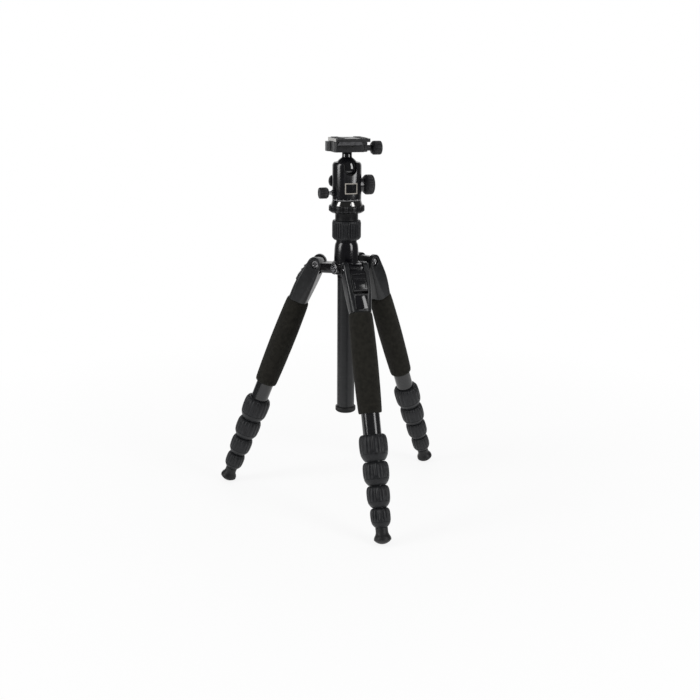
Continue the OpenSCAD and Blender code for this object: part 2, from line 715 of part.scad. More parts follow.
module friction_knob() {
    start = housing_r + move_gap;
    color([0.1, 0.1, 0.1]) rotate([0, 0, friction_azimuth])
        translate([0, 0, housing_z + friction_z]) union() {
            x_rod(friction_shaft_r, housing_r * 0.65, start + over);
            translate([start, 0, 0])
                grooved_knob(friction_knob_d / 2, friction_knob_l, 18, friction_knob_d * 0.04);
        }
}

module ball_seat() {
    inner_angle = 32;
    outer_angle = 62;
    reach = 2 * cavity_r;
    color([0.6, 0.6, 0.55]) translate([0, 0, ball_z]) rotate_extrude() intersection() {
        difference() {
            circle(r = socket_r + seat_t);
            circle(r = socket_r);
        }
        polygon([
            [0, 0], [reach * sin(inner_angle), -reach * cos(inner_angle)],
            [reach * sin(outer_angle), -reach * cos(outer_angle)]
        ]);
    }
}

module ball_stem() {
    color([0.04, 0.04, 0.04]) translate([0, 0, ball_z]) union() {
        sphere(r = ball_r);
        cylinder(r = stem_r, h = stem_l - move_gap);
        cylinder(r = spindle_r, h = stem_l + spindle_h);
    }
}

module clamp_body() {
    half = clamp_w / 2;
    floor_end = half - apron_t - move_gap;
    jaw_foot = dovetail_w / 2 + move_gap;
    jaw_tip = jaw_foot - dovetail_slope;
    corner = clamp_w * 0.055;
    // The front half of the fixed side is stepped in
    step = clamp_w * 0.066;
    step_y = clamp_l * 0.083;
    color([0.05, 0.05, 0.055]) translate([clamp_x, 0, 0]) difference() {
        intersection() {
            union() {
                translate([-half, -clamp_l / 2, clamp_z]) cube([half + floor_end, clamp_l, clamp_floor]);
                side_profile([
                    [-half, floor_z], [-jaw_foot, floor_z], [-jaw_tip, jaw_top_z], [-half, jaw_top_z]
                ], clamp_l);
            }
            translate([0, 0, clamp_z - over]) linear_extrude(clamp_floor + jaw_h + 2 * over) polygon([
                [step + corner - half, -clamp_l / 2], [clamp_w, -clamp_l / 2], [clamp_w, clamp_l / 2],
                [corner - half, clamp_l / 2], [-half, clamp_l / 2 - corner], [-half, step_y + step],
                [step - half, step_y], [step - half, corner - clamp_l / 2]
            ]);
        }
        // Bore of the stem's spindle, on the stem's own axis
        translate([-clamp_x, 0, clamp_z - over])
            cylinder(r = spindle_r + shaft_fit, h = spindle_h + over + move_gap);
        translate([0, 0, clamp_screw_z]) x_rod(screw_r + shaft_fit, clamp_w * 0.15, clamp_w);
    }
}

module clamp_jaw() {
    half = clamp_w / 2;
    jaw_foot = dovetail_w / 2 + move_gap;
    jaw_tip = jaw_foot - dovetail_slope;
    corner = clamp_w * 0.031;
    color([0.05, 0.05, 0.055]) translate([clamp_x, 0, 0]) difference() {
        side_profile([
            [half - apron_t, clamp_z + move_gap], [half, clamp_z + move_gap], [half, jaw_top_z],
            [jaw_tip, jaw_top_z], [jaw_foot, floor_z + move_gap], [half - apron_t, floor_z + move_gap]
        ], clamp_l);
        for (side = [-1, 1]) translate([half, side * clamp_l / 2, clamp_z - over]) rotate([0, 0, 45])
            cube([corner, corner, clamp_floor + jaw_h + 2 * over] * 2, center = true);
        translate([0, 0, clamp_screw_z]) x_rod(screw_r + shaft_fit, 0, clamp_w);
    }
}

module clamp_knob() {
    half = clamp_w / 2;
    start = half + sleeve_l;
    color([0.1, 0.1, 0.1]) translate([clamp_x, 0, clamp_screw_z]) union() {
        x_rod(screw_r, clamp_w * 0.22, start);
        x_rod(sleeve_r, half + move_gap, start + over);
        translate([start, 0, 0]) grooved_knob(clamp_knob_d / 2, clamp_knob_l, 20, clamp_knob_d * 0.045);
    }
}

module camera_plate() {
    foot_half = dovetail_w / 2;
    top_half = foot_half - dovetail_slope;
    slot = camera_thread_d / 2 + move_gap;
    chamfer = plate_w * 0.035;
    x0 = plate_shift - plate_w / 2;
    x1 = plate_shift + plate_w / 2;
    color([0.04, 0.04, 0.045]) translate([clamp_x, 0, 0]) difference() {
        union() {
            translate([0, 0, slab_z]) linear_extrude(plate_t) polygon([
                [x0, -plate_l / 2 + chamfer], [x0 + chamfer, -plate_l / 2], [x1 - chamfer, -plate_l / 2],
                [x1, -plate_l / 2 + chamfer], [x1, plate_l / 2 - chamfer], [x1 - chamfer, plate_l / 2],
                [x0 + chamfer, plate_l / 2], [x0, plate_l / 2 - chamfer]
            ]);
            side_profile([
                [-foot_half, plate_foot_z], [foot_half, plate_foot_z],
                [top_half, slab_z], [-top_half, slab_z]
            ], plate_l);
        }
        translate([0, 0, plate_foot_z - over]) cylinder(r = slot, h = clamp_floor + jaw_h);
        translate([0, 0, plate_foot_z - over])
            cylinder(r = head_r + move_gap, h = slab_top_z - slab_skin - plate_foot_z + over);
    }
}

module plate_pads() {
    pad_w = plate_w * 0.2;
    pad_l = plate_l * 0.84;
    color([0.12, 0.12, 0.12]) for (side = [-1, 1])
        translate([clamp_x + plate_shift + side * plate_w * 0.33 - pad_w / 2, -pad_l / 2, slab_top_z])
            cube([pad_w, pad_l, pad_t]);
}

module camera_screw() {
    thread_h = slab_top_z - plate_foot_z - move_gap;
    groove = camera_thread_d * 0.16;
    color([0.7, 0.7, 0.7]) translate([clamp_x, 0, plate_foot_z]) difference() {
        union() {
            cylinder(r = head_r, h = head_h);
            cylinder(d = camera_thread_d, h = thread_h);
        }
        translate([-head_r - over, -groove / 2, -over])
            cube([2 * head_r + 2 * over, groove, head_h * 0.5 + over]);
    }
}

leg_casting(front_azimuth);  // front_leg_casting
leg_tube(front_azimuth, 0);  // front_tube_1
foam_grip(front_azimuth);  // front_foam_grip
angle_button(front_azimuth);  // front_angle_button
twist_lock(front_azimuth, 0);  // front_twist_lock_1
twist_lock(front_azimuth, 1);  // front_twist_lock_2
twist_lock(front_azimuth, 2);  // front_twist_lock_3
twist_lock(front_azimuth, 3);  // front_twist_lock_4
leg_tube(front_azimuth, 1);  // front_tube_2
leg_tube(front_azimuth, 2);  // front_tube_3
leg_tube(front_azimuth, 3);  // front_tube_4
leg_tube(front_azimuth, 4);  // front_tube_5
foot(front_azimuth);  // front_foot
leg_casting(right_azimuth);  // right_leg_casting
leg_tube(right_azimuth, 0);  // right_tube_1
foam_grip(right_azimuth);  // right_foam_grip
angle_button(right_azimuth);  // right_angle_button
twist_lock(right_azimuth, 0);  // right_twist_lock_1
twist_lock(right_azimuth, 1);  // right_twist_lock_2
twist_lock(right_azimuth, 2);  // right_twist_lock_3
twist_lock(right_azimuth, 3);  // right_twist_lock_4
leg_tube(right_azimuth, 1);  // right_tube_2
leg_tube(right_azimuth, 2);  // right_tube_3
leg_tube(right_azimuth, 3);  // right_tube_4
leg_tube(right_azimuth, 4);  // right_tube_5
foot(right_azimuth);  // right_foot
leg_casting(left_azimuth);  // left_leg_casting
leg_tube(left_azimuth, 0);  // left_tube_1
foam_grip(left_azimuth);  // left_foam_grip
angle_button(left_azimuth);  // left_angle_button
twist_lock(left_azimuth, 0);  // left_twist_lock_1
twist_lock(left_azimuth, 1);  // left_twist_lock_2
twist_lock(left_azimuth, 2);  // left_twist_lock_3
twist_lock(left_azimuth, 3);  // left_twist_lock_4
leg_tube(left_azimuth, 1);  // left_tube_2
leg_tube(left_azimuth, 2);  // left_tube_3
leg_tube(left_azimuth, 3);  // left_tube_4
leg_tube(left_azimuth, 4);  // left_tube_5
foot(left_azimuth);  // left_foot
spider();
hinge_bolts();
accessory_insert();
column_collar();
column_tube();
column_cap();
weight_hook();
column_platform();
pan_base();
ball_housing();
pan_knob();
ball_lock_knob();
friction_knob();
ball_seat();
ball_stem();
clamp_body();
clamp_jaw();
clamp_knob();
camera_plate();
plate_pads();
camera_screw();
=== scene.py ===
"""Looks of a travel tripod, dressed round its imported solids.

Every piece is modelled in millimetres about its own axis and then seated, in metres, where its
solid stands. The legs share one set of pieces, which is copied to each of the three legs.
"""

import json
import logging
import math
from dataclasses import dataclass, field
from enum import Enum
from typing import Callable, Iterable, Sequence

import bmesh
import bpy
from mathutils import Matrix, Vector

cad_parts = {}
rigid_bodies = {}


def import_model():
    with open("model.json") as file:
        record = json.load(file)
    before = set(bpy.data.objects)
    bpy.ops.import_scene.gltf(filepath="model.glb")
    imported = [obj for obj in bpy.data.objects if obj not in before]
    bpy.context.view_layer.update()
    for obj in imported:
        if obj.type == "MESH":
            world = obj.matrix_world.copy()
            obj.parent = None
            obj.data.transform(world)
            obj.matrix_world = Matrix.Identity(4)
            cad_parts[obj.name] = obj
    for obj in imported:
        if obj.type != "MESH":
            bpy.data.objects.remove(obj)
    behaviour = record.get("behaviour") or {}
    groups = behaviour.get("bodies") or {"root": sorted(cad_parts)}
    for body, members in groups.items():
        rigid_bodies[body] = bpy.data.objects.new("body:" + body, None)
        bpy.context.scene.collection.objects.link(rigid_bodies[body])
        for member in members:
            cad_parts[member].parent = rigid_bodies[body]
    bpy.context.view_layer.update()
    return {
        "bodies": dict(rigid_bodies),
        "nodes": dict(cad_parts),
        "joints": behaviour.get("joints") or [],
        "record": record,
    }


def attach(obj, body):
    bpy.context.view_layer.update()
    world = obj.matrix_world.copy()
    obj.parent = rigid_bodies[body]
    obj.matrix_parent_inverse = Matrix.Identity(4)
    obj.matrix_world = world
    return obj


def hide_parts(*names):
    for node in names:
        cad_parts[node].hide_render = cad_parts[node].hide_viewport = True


LOG = logging.getLogger("tripod")

Outline = Sequence[tuple[float, float]]
Colour = tuple[float, float, float]

MM = 0.001
PIVOT_R = 36.5
PIVOT_Z = 302.7155
LEG_TILT = 21.9
LEG_OFFSET = 5.7
TUBE_R = (11.0, 9.5, 8.0, 6.5, 5.0)
TUBE_WALL = 1.2
TUBE_TOPS = (41.0, 43.0, 45.0, 47.0, 49.0)
TUBE_ENDS = (211.4, 243.4, 271.4, 297.4, 318.9)
LOCK_TOPS = (199.4, 231.4, 259.4, 285.4)
LOCK_LENGTHS = (32.0, 28.0, 26.0, 23.04)
FOOT_TOP = 308.44
GAP = 0.3


class Leg(Enum):
    """The three legs, each with its direction about the column in degrees."""

    FRONT = 270.0
    RIGHT = 30.0
    LEFT = 150.0

    @property
    def prefix(self) -> str:
        """Start of the names of this leg's pieces."""
        return self.name.lower()

    def frame(self) -> Matrix:
        """Place of this leg's own frame: +X outboard, +Y along the pin, +Z up the leg, in millimetres."""
        return (
            Matrix.Rotation(math.radians(self.value), 4, "Z")
            @ Matrix.Translation((PIVOT_R, 0.0, PIVOT_Z))
            @ Matrix.Rotation(math.radians(-LEG_TILT), 4, "Y")
        )

    def down_tube(self, distance: float) -> Matrix:
        """Place on the axis of this leg's tubes, a distance in millimetres down from the pin."""
        return self.frame() @ Matrix.Translation((LEG_OFFSET, 0.0, -distance))


class Grain(Enum):
    """Fine surface structures that a finish can have."""

    CAST = "cast grain"
    MOULDED = "moulded grain"
    FOAM = "foam cells"
    TURNED = "turned lines"


class SharedEffects:
    """Shader node groups that several finishes use, each built once."""

    def __init__(self) -> None:
        """Starts with no group built."""
        self._groups: dict[str, bpy.types.ShaderNodeTree] = {}

    @staticmethod
    def _new(name: str, outputs: Iterable[str]) -> tuple[bpy.types.ShaderNodeTree, bpy.types.Node, bpy.types.Node]:
        """Makes a group with a Scale input.

        Args:
            name: Name of the group.
            outputs: Names of its value outputs.

        Returns:
            The group, its input node and its output node.
        """
        tree = bpy.data.node_groups.new(name, "ShaderNodeTree")
        scale = tree.interface.new_socket("Scale", in_out="INPUT", socket_type="NodeSocketFloat")
        scale.default_value = 1.0
        for label in outputs:
            tree.interface.new_socket(label, in_out="OUTPUT", socket_type="NodeSocketFloat")
        return tree, tree.nodes.new("NodeGroupInput"), tree.nodes.new("NodeGroupOutput")

    @staticmethod
    def _scaled_place(tree: bpy.types.ShaderNodeTree, entry: bpy.types.Node, stretch: Colour) -> bpy.types.NodeSocket:
        """Object coordinates times the group's Scale and a stretch along each axis."""
        place = tree.nodes.new("ShaderNodeTexCoord")
        grow = tree.nodes.new("ShaderNodeVectorMath")
        grow.operation = "SCALE"
        tree.links.new(place.outputs["Object"], grow.inputs[0])
        tree.links.new(entry.outputs["Scale"], grow.inputs["Scale"])
        shape = tree.nodes.new("ShaderNodeVectorMath")
        shape.operation = "MULTIPLY"
        shape.inputs[1].default_value = stretch
        tree.links.new(grow.outputs[0], shape.inputs[0])
        return shape.outputs[0]

    def grain(self, kind: Grain) -> bpy.types.ShaderNodeTree:
        """The group of one fine structure.

        Args:
            kind: Which structure.

        Returns:
            A group with a Scale input and Height and Mottle outputs.
        """
        if kind.value in self._groups:
            return self._groups[kind.value]
        tree, entry, leave = self._new(kind.value, ("Height", "Mottle"))
        stretch = (1.0, 1.0, 9.0) if kind is Grain.TURNED else (1.0, 1.0, 1.0)
        place = self._scaled_place(tree, entry, stretch)
        if kind is Grain.FOAM:
            cells = tree.nodes.new("ShaderNodeTexVoronoi")
            cells.feature = "SMOOTH_F1"
            cells.inputs["Scale"].default_value = 1.0
            height = cells.outputs["Distance"]
        else:
            cells = tree.nodes.new("ShaderNodeTexNoise")
            cells.inputs["Scale"].default_value = 1.0
            cells.inputs["Detail"].default_value = 5.0 if kind is Grain.CAST else 2.0
            height = cells.outputs["Fac"]
        tree.links.new(place, cells.inputs["Vector"])
        tree.links.new(height, leave.inputs["Height"])
        cloud = tree.nodes.new("ShaderNodeTexNoise")
        cloud.inputs["Scale"].default_value = 0.11
        cloud.inputs["Detail"].default_value = 3.0
        tree.links.new(place, cloud.inputs["Vector"])
        spread = tree.nodes.new("ShaderNodeMapRange")
        spread.inputs["From Min"].default_value = 0.36
        spread.inputs["From Max"].default_value = 0.64
        tree.links.new(cloud.outputs["Fac"], spread.inputs["Value"])
        tree.links.new(spread.outputs["Result"], leave.inputs["Mottle"])
        self._groups[kind.value] = tree
        return tree

    def handling(self) -> bpy.types.ShaderNodeTree:
        """A group whose Mask is high where hands have left a faint film."""
        name = "handling film"
        if name not in self._groups:
            tree, entry, leave = self._new(name, ("Mask",))
            place = self._scaled_place(tree, entry, (1.0, 1.0, 0.6))
            film = tree.nodes.new("ShaderNodeTexNoise")
            film.inputs["Scale"].default_value = 1.0
            film.inputs["Detail"].default_value = 4.0
            film.inputs["Distortion"].default_value = 0.6
            tree.links.new(place, film.inputs["Vector"])
            spread = tree.nodes.new("ShaderNodeMapRange")
            spread.inputs["From Min"].default_value = 0.4
            spread.inputs["From Max"].default_value = 0.66
            tree.links.new(film.outputs["Fac"], spread.inputs["Value"])
            tree.links.new(spread.outputs["Result"], leave.inputs["Mask"])
            self._groups[name] = tree
        return self._groups[name]

    def rubbed_edges(self) -> bpy.types.ShaderNodeTree:
        """A group whose Mask is high along convex edges, broken up by a noise of the given Scale: rubbing there, and a
        painted highlight along chamfers.
        """
        name = "rubbed edges"
        if name not in self._groups:
            tree, entry, leave = self._new(name, ("Mask",))
            shape = tree.nodes.new("ShaderNodeNewGeometry")
            edge = tree.nodes.new("ShaderNodeMapRange")
            edge.inputs["From Min"].default_value = 0.53
            edge.inputs["From Max"].default_value = 0.62
            tree.links.new(shape.outputs["Pointiness"], edge.inputs["Value"])
            place = self._scaled_place(tree, entry, (1.0, 1.0, 1.0))
            breaks = tree.nodes.new("ShaderNodeTexNoise")
            breaks.inputs["Scale"].default_value = 1.0
            breaks.inputs["Detail"].default_value = 3.0
            tree.links.new(place, breaks.inputs["Vector"])
            both = tree.nodes.new("ShaderNodeMath")
            both.operation = "MULTIPLY"
            tree.links.new(edge.outputs["Result"], both.inputs[0])
            tree.links.new(breaks.outputs["Fac"], both.inputs[1])
            tree.links.new(both.outputs["Value"], leave.inputs["Mask"])
            self._groups[name] = tree
        return self._groups[name]


@dataclass(frozen=True)
class Finish:
    """One surface finish, with the values of its shader.

    Args:
        name: Name of the material.
        colour: Base colour, linear.
        roughness: Mean roughness.
        specular: Specular level of the shader.
        metallic: 1 for bare metal.
        coat: Weight of a clear coat.
        sheen: Weight of a soft sheen.
        kind: Fine structure of the surface.
        per_metre: How fine that structure is.
        height: Depth of that structure in metres.
        mottle: How much the colour varies.
        film: How much the roughness varies.
        worn: Colour on convex edges: partly rubbing, partly a painted highlight along chamfers.
        wear: How strongly it shows there.
    """

    name: str
    colour: Colour
    roughness: float
    specular: float = 0.3
    metallic: float = 0.0
    coat: float = 0.0
    sheen: float = 0.0
    kind: Grain = Grain.MOULDED
    per_metre: float = 900.0
    height: float = 0.00002
    mottle: float = 0.35
    film: float = 0.05
    # Colour and strength of the lighter convex edges: partly rubbing, partly a painted highlight along chamfers.
    worn: Colour = (0.1, 0.1, 0.105)
    wear: float = 0.35

    def made(self, effects: SharedEffects) -> bpy.types.Material:
        """Builds the material.

        Args:
            effects: The shared node groups.

        Returns:
            The material.
        """
        material = bpy.data.materials.new(self.name)
        material.use_nodes = True
        tree = material.node_tree
        shader = tree.nodes["Principled BSDF"]
        shader.inputs["Metallic"].default_value = self.metallic
        shader.inputs["Specular IOR Level"].default_value = self.specular
        shader.inputs["Coat Weight"].default_value = self.coat
        shader.inputs["Coat Roughness"].default_value = 0.06
        shader.inputs["Sheen Weight"].default_value = self.sheen
        shader.inputs["Sheen Roughness"].default_value = 0.5

        grain = self._placed(tree, effects.grain(self.kind), self.per_metre)
        lighter = tuple(min(1.0, channel * (1.0 + self.mottle)) for channel in self.colour)
        darker = tuple(channel * (1.0 - 0.5 * self.mottle) for channel in self.colour)
        base = self._mixed(tree, darker, lighter, grain.outputs["Mottle"])
        # Lighter colour on convex edges: rubbing, and a painted highlight along chamfers.
        wear_and_highlight_mask = self._placed(tree, effects.rubbed_edges(), 320.0)
        amount = tree.nodes.new("ShaderNodeMath")
        amount.operation = "MULTIPLY"
        amount.inputs[1].default_value = self.wear
        tree.links.new(wear_and_highlight_mask.outputs["Mask"], amount.inputs[0])
        worn = self._mixed(tree, (0.0, 0.0, 0.0), self.worn, amount.outputs["Value"])
        tree.links.new(base.outputs["Result"], worn.inputs["A"])
        tree.links.new(worn.outputs["Result"], shader.inputs["Base Color"])

        film = self._placed(tree, effects.handling(), 38.0)
        rough = tree.nodes.new("ShaderNodeMapRange")
        rough.inputs["To Min"].default_value = max(0.02, self.roughness - self.film)
        rough.inputs["To Max"].default_value = min(1.0, self.roughness + self.film)
        tree.links.new(film.outputs["Mask"], rough.inputs["Value"])
        tree.links.new(rough.outputs["Result"], shader.inputs["Roughness"])

        bump = tree.nodes.new("ShaderNodeBump")
        bump.inputs["Strength"].default_value = 1.0
        bump.inputs["Distance"].default_value = self.height
        tree.links.new(grain.outputs["Height"], bump.inputs["Height"])
        tree.links.new(bump.outputs["Normal"], shader.inputs["Normal"])
        return material

    @staticmethod
    def _placed(tree: bpy.types.NodeTree, group: bpy.types.ShaderNodeTree, scale: float) -> bpy.types.Node:
        """Puts a shared group into a material with its own scale."""
        node = tree.nodes.new("ShaderNodeGroup")
        node.node_tree = group
        node.inputs["Scale"].default_value = scale
        return node

    @staticmethod
    def _mixed(tree: bpy.types.NodeTree, low: Colour, high: Colour, mask: bpy.types.NodeSocket) -> bpy.types.Node:
        """A colour mix between two colours by a mask."""
        node = tree.nodes.new("ShaderNodeMix")
        node.data_type = "RGBA"
        node.inputs[6].default_value = (*low, 1.0)
        node.inputs[7].default_value = (*high, 1.0)
        tree.links.new(mask, node.inputs[0])
        return _ColourMix(node)


class _ColourMix:
    """Names the colour sockets of a mix node, which share their names with its other sockets."""

    def __init__(self, node: bpy.types.Node) -> None:
        """Keeps the node's colour sockets under plain names."""
        self.inputs = {"A": node.inputs[6], "B": node.inputs[7]}
        self.outputs = {"Result": node.outputs[2]}


class Finishes(Enum):
    """Every finish of the tripod."""

    # Its lighter edge colour paints bright highlight lines along the rails' chamfers, besides some rubbing.
    CASTING = Finish("satin_casting", (0.0085, 0.009, 0.01), 0.33, 0.42, kind=Grain.CAST, per_metre=1500.0,
                     height=0.00003, worn=(0.1, 0.1, 0.105), wear=0.4)
    GLOSS = Finish("gloss_enamel", (0.0035, 0.0034, 0.0045), 0.2, 0.7, height=0.000004, film=0.04, wear=0.2)
    TUBE = Finish("anodised_tube", (0.006, 0.0062, 0.007), 0.17, 0.65, kind=Grain.TURNED, height=0.000003,
                  film=0.04, wear=0.1)
    COLUMN = Finish("anodised_column", (0.0065, 0.007, 0.008), 0.36, 0.42, kind=Grain.TURNED, height=0.000004,
                    film=0.05, wear=0.1)
    RUBBER = Finish("grip_rubber", (0.0105, 0.011, 0.0125), 0.47, 0.3, per_metre=2200.0, height=0.00004,
                    worn=(0.05, 0.05, 0.055), wear=0.5)
    KNOB = Finish("knob_rubber", (0.010, 0.010, 0.0115), 0.42, 0.34, per_metre=2200.0, height=0.00003,
                  worn=(0.05, 0.05, 0.055), wear=0.5)
    FOAM = Finish("grip_foam", (0.0125, 0.0118, 0.0095), 0.94, 0.12, sheen=0.05, kind=Grain.FOAM, per_metre=1900.0,
                  height=0.00022, mottle=0.3, film=0.03, wear=0.0)
    BUTTON = Finish("gloss_button", (0.004, 0.004, 0.005), 0.24, 0.5, height=0.000006, film=0.04, wear=0.2)
    FOOT = Finish("foot_rubber", (0.009, 0.009, 0.0095), 0.5, 0.3, per_metre=1800.0, height=0.00005,
                  worn=(0.05, 0.05, 0.048), wear=0.5)
    CHROME = Finish("polished_bolt", (0.62, 0.62, 0.63), 0.1, 0.5, metallic=1.0, height=0.000002, mottle=0.05,
                    film=0.03, worn=(0.7, 0.7, 0.7), wear=0.1)
    STEEL = Finish("turned_steel", (0.5, 0.5, 0.51), 0.24, 0.5, metallic=1.0, kind=Grain.TURNED, per_metre=1400.0,
                   height=0.00002, mottle=0.12, worn=(0.7, 0.7, 0.7), wear=0.2)
    WIRE = Finish("hook_wire", (0.2, 0.2, 0.21), 0.3, 0.5, metallic=1.0, height=0.00001, mottle=0.15)
    BEVEL = Finish("polished_bevel", (0.17, 0.168, 0.165), 0.12, 0.5, metallic=1.0, height=0.000002, mottle=0.05,
                   film=0.02, wear=0.1)
    BALL = Finish("polished_ball", (0.003, 0.003, 0.004), 0.08, 1.0, height=0.000002, film=0.03, wear=0.0)
    # Its strong light edge colour paints the bright highlight bands along the clamp's chamfers, besides some rubbing.
    CLAMP = Finish("satin_clamp", (0.004, 0.004, 0.0046), 0.36, 0.3, kind=Grain.CAST, per_metre=2600.0,
                   height=0.000006, worn=(0.2, 0.2, 0.21), wear=0.6)
    PAD = Finish("pad_rubber", (0.03, 0.03, 0.031), 0.6, 0.3, per_metre=2400.0, height=0.00005)
    PRINT = Finish("white_print", (0.62, 0.62, 0.62), 0.5, 0.3, height=0.000003, mottle=0.08, wear=0.0)
    TRIM = Finish("silver_trim", (0.55, 0.54, 0.52), 0.3, 0.5, metallic=1.0, height=0.000006, mottle=0.1,
                  worn=(0.7, 0.7, 0.7), wear=0.2)
    FRAME = Finish("badge_frame", (0.3, 0.28, 0.25), 0.42, 0.35, height=0.000004, mottle=0.12, wear=0.1)
    PANEL = Finish("gloss_panel", (0.005, 0.005, 0.006), 0.09, 0.6, height=0.000002, film=0.03, wear=0.0)
    SEAT = Finish("seat_polymer", (0.02, 0.02, 0.02), 0.45, 0.3, height=0.00001, mottle=0.06, wear=0.0)


class Workbench:
    """Shapes pieces in millimetres with the modelling operators."""

    @staticmethod
    def clear() -> None:
        """Leaves edit mode and deselects everything."""
        if bpy.context.mode != "OBJECT":
            bpy.ops.object.mode_set(mode="OBJECT")
        bpy.ops.object.select_all(action="DESELECT")

    @classmethod
    def pick(cls, piece: bpy.types.Object, *others: bpy.types.Object) -> None:
        """Selects pieces and makes the first one active.

        Args:
            piece: The piece to make active.
            others: Further pieces to select.
        """
        cls.clear()
        for each in (piece, *others):
            each.select_set(True)
        bpy.context.view_layer.objects.active = piece

    @classmethod
    def started(cls, name: str) -> bpy.types.Object:
        """Names the primitive that was just added and puts its place into its mesh."""
        piece = bpy.context.active_object
        piece.name = name
        piece.data.name = name
        bpy.ops.object.transform_apply(location=True, rotation=True, scale=True)
        return piece

    @classmethod
    def turned(cls, name: str, outline: Outline, segments: int = 96, closed: bool = True) -> bpy.types.Object:
        """Turns an outline about the Z axis, ring by ring.

        Args:
            name: Name of the piece.
            outline: Radius and height of each ring.
            segments: Corners of a ring.
            closed: Whether the last ring joins the first, for a hollow piece. Otherwise both ends are capped.

        Returns:
            The piece.
        """
        cls.clear()
        radius, height = outline[0]
        bpy.ops.mesh.primitive_circle_add(vertices=segments, radius=radius, location=(0.0, 0.0, height))
        piece = cls.started(name)
        bpy.ops.object.mode_set(mode="EDIT")
        bpy.ops.mesh.select_mode(type="VERT")
        bpy.ops.mesh.select_all(action="SELECT")
        for (r0, z0), (r1, z1) in zip(outline, outline[1:]):
            bpy.ops.mesh.extrude_region_move(TRANSFORM_OT_translate={"value": (0.0, 0.0, z1 - z0)})
            if abs(r1 - r0) > 1e-6:
                share = r1 / r0
                bpy.ops.transform.resize(value=(share, share, 1.0), center_override=(0.0, 0.0, z1))
        bpy.ops.mesh.select_all(action="SELECT")
        if closed:
            bpy.ops.mesh.region_to_loop()
            bpy.ops.mesh.bridge_edge_loops()
        else:
            bpy.ops.mesh.fill_holes(sides=0)
        bpy.ops.mesh.select_all(action="SELECT")
        bpy.ops.mesh.remove_doubles(threshold=0.0005)
        bpy.ops.mesh.normals_make_consistent(inside=False)
        bpy.ops.object.mode_set(mode="OBJECT")
        return piece

    @classmethod
    def grooved(cls, piece: bpy.types.Object, count: int, levels: Sequence[tuple[float, float]],
                section: Sequence[float], outside: float) -> None:
        """Sinks lengthwise grooves into a turned piece.

        Args:
            piece: The turned piece, still about the Z axis.
            count: Number of grooves.
            levels: Height of each ring that is sunk, with the depth there.
            section: Share of the depth at each corner from a groove's middle outwards.
            outside: Radius beyond which a ring belongs to the outside.
        """
        cls.pick(piece)
        bpy.ops.object.mode_set(mode="EDIT")
        bpy.ops.mesh.select_mode(type="VERT")
        pitch = 2.0 * math.pi / count
        for height, depth in levels:
            for step, share in enumerate(section):
                if depth * share <= 0.0:
                    continue
                mesh = bmesh.from_edit_mesh(piece.data)
                radius = 0.0
                ring = [v for v in mesh.verts if abs(v.co.z - height) < 0.003]
                corners = max(1, round(len([v for v in ring if math.hypot(v.co.x, v.co.y) > outside]) / count))
                for vert in mesh.verts:
                    vert.select = False
                for vert in ring:
                    reach = math.hypot(vert.co.x, vert.co.y)
                    if reach <= outside:
                        continue
                    turn = (math.atan2(vert.co.y, vert.co.x) / pitch) % 1.0
                    place = round(turn * corners) % corners
                    if min(place, corners - place) == step:
                        vert.select = True
                        radius = max(radius, reach)
                mesh.select_flush_mode()
                bmesh.update_edit_mesh(piece.data)
                if radius > 0.0:
                    shrink = 1.0 - depth * share / radius
                    bpy.ops.transform.resize(value=(shrink, shrink, 1.0), center_override=(0.0, 0.0, height))
        bpy.ops.object.mode_set(mode="OBJECT")

    @classmethod
    def block(cls, name: str, low: Colour, high: Colour,
              cuts: Sequence[tuple[Colour, Colour]] = ()) -> bpy.types.Object:
        """A block between two corners, trimmed by planes.

        Args:
            name: Name of the piece.
            low: Lowest corner.
            high: Highest corner.
            cuts: A point on each plane and the direction that is cut away.

        Returns:
            The piece.
        """
        cls.clear()
        middle = tuple((a + b) / 2.0 for a, b in zip(low, high))
        size = tuple(b - a for a, b in zip(low, high))
        bpy.ops.mesh.primitive_cube_add(size=1.0, location=middle, scale=size)
        piece = cls.started(name)
        cls.trimmed(piece, cuts)
        return piece

    @classmethod
    def trimmed(cls, piece: bpy.types.Object, cuts: Sequence[tuple[Colour, Colour]]) -> None:
        """Trims a piece by planes.

        Args:
            piece: The piece.
            cuts: A point on each plane and the direction that is cut away.
        """
        cls.pick(piece)
        bpy.ops.object.mode_set(mode="EDIT")
        for point, away in cuts:
            bpy.ops.mesh.select_all(action="SELECT")
            bpy.ops.mesh.bisect(plane_co=point, plane_no=away, use_fill=True, clear_outer=True)
        bpy.ops.mesh.select_all(action="SELECT")
        bpy.ops.mesh.normals_make_consistent(inside=False)
        bpy.ops.object.mode_set(mode="OBJECT")

    @classmethod
    def rod(cls, name: str, radius: float, start: Colour, end: Colour, corners: int = 64) -> bpy.types.Object:
        """A round rod between two points, used as a cutter or to be fused on.

        Args:
            name: Name of the piece.
            radius: Its radius.
            start: Centre of one end.
            end: Centre of the other end.
            corners: Corners of its section.

        Returns:
            The piece.
        """
        cls.clear()
        line = Vector(end) - Vector(start)
        turn = line.to_track_quat("Z", "Y").to_euler()
        bpy.ops.mesh.primitive_cylinder_add(vertices=corners, radius=radius, depth=line.length,
                                            location=(Vector(start) + Vector(end)) / 2.0, rotation=turn)
        return cls.started(name)

    @classmethod
    def ball(cls, name: str, radius: float, centre: Colour) -> bpy.types.Object:
        """A round ball, used as a cutter or as a rounded end."""
        cls.clear()
        bpy.ops.mesh.primitive_uv_sphere_add(segments=96, ring_count=48, radius=radius, location=centre)
        return cls.started(name)

    @classmethod
    def _finished(cls, piece: bpy.types.Object, kind: str, **values: object) -> None:
        """Adds a modifier with its values and applies it."""
        modifier = piece.modifiers.new(kind.title(), kind)
        for key, value in values.items():
            setattr(modifier, key, value)
        cls.pick(piece)
        bpy.ops.object.modifier_apply(modifier=modifier.name)

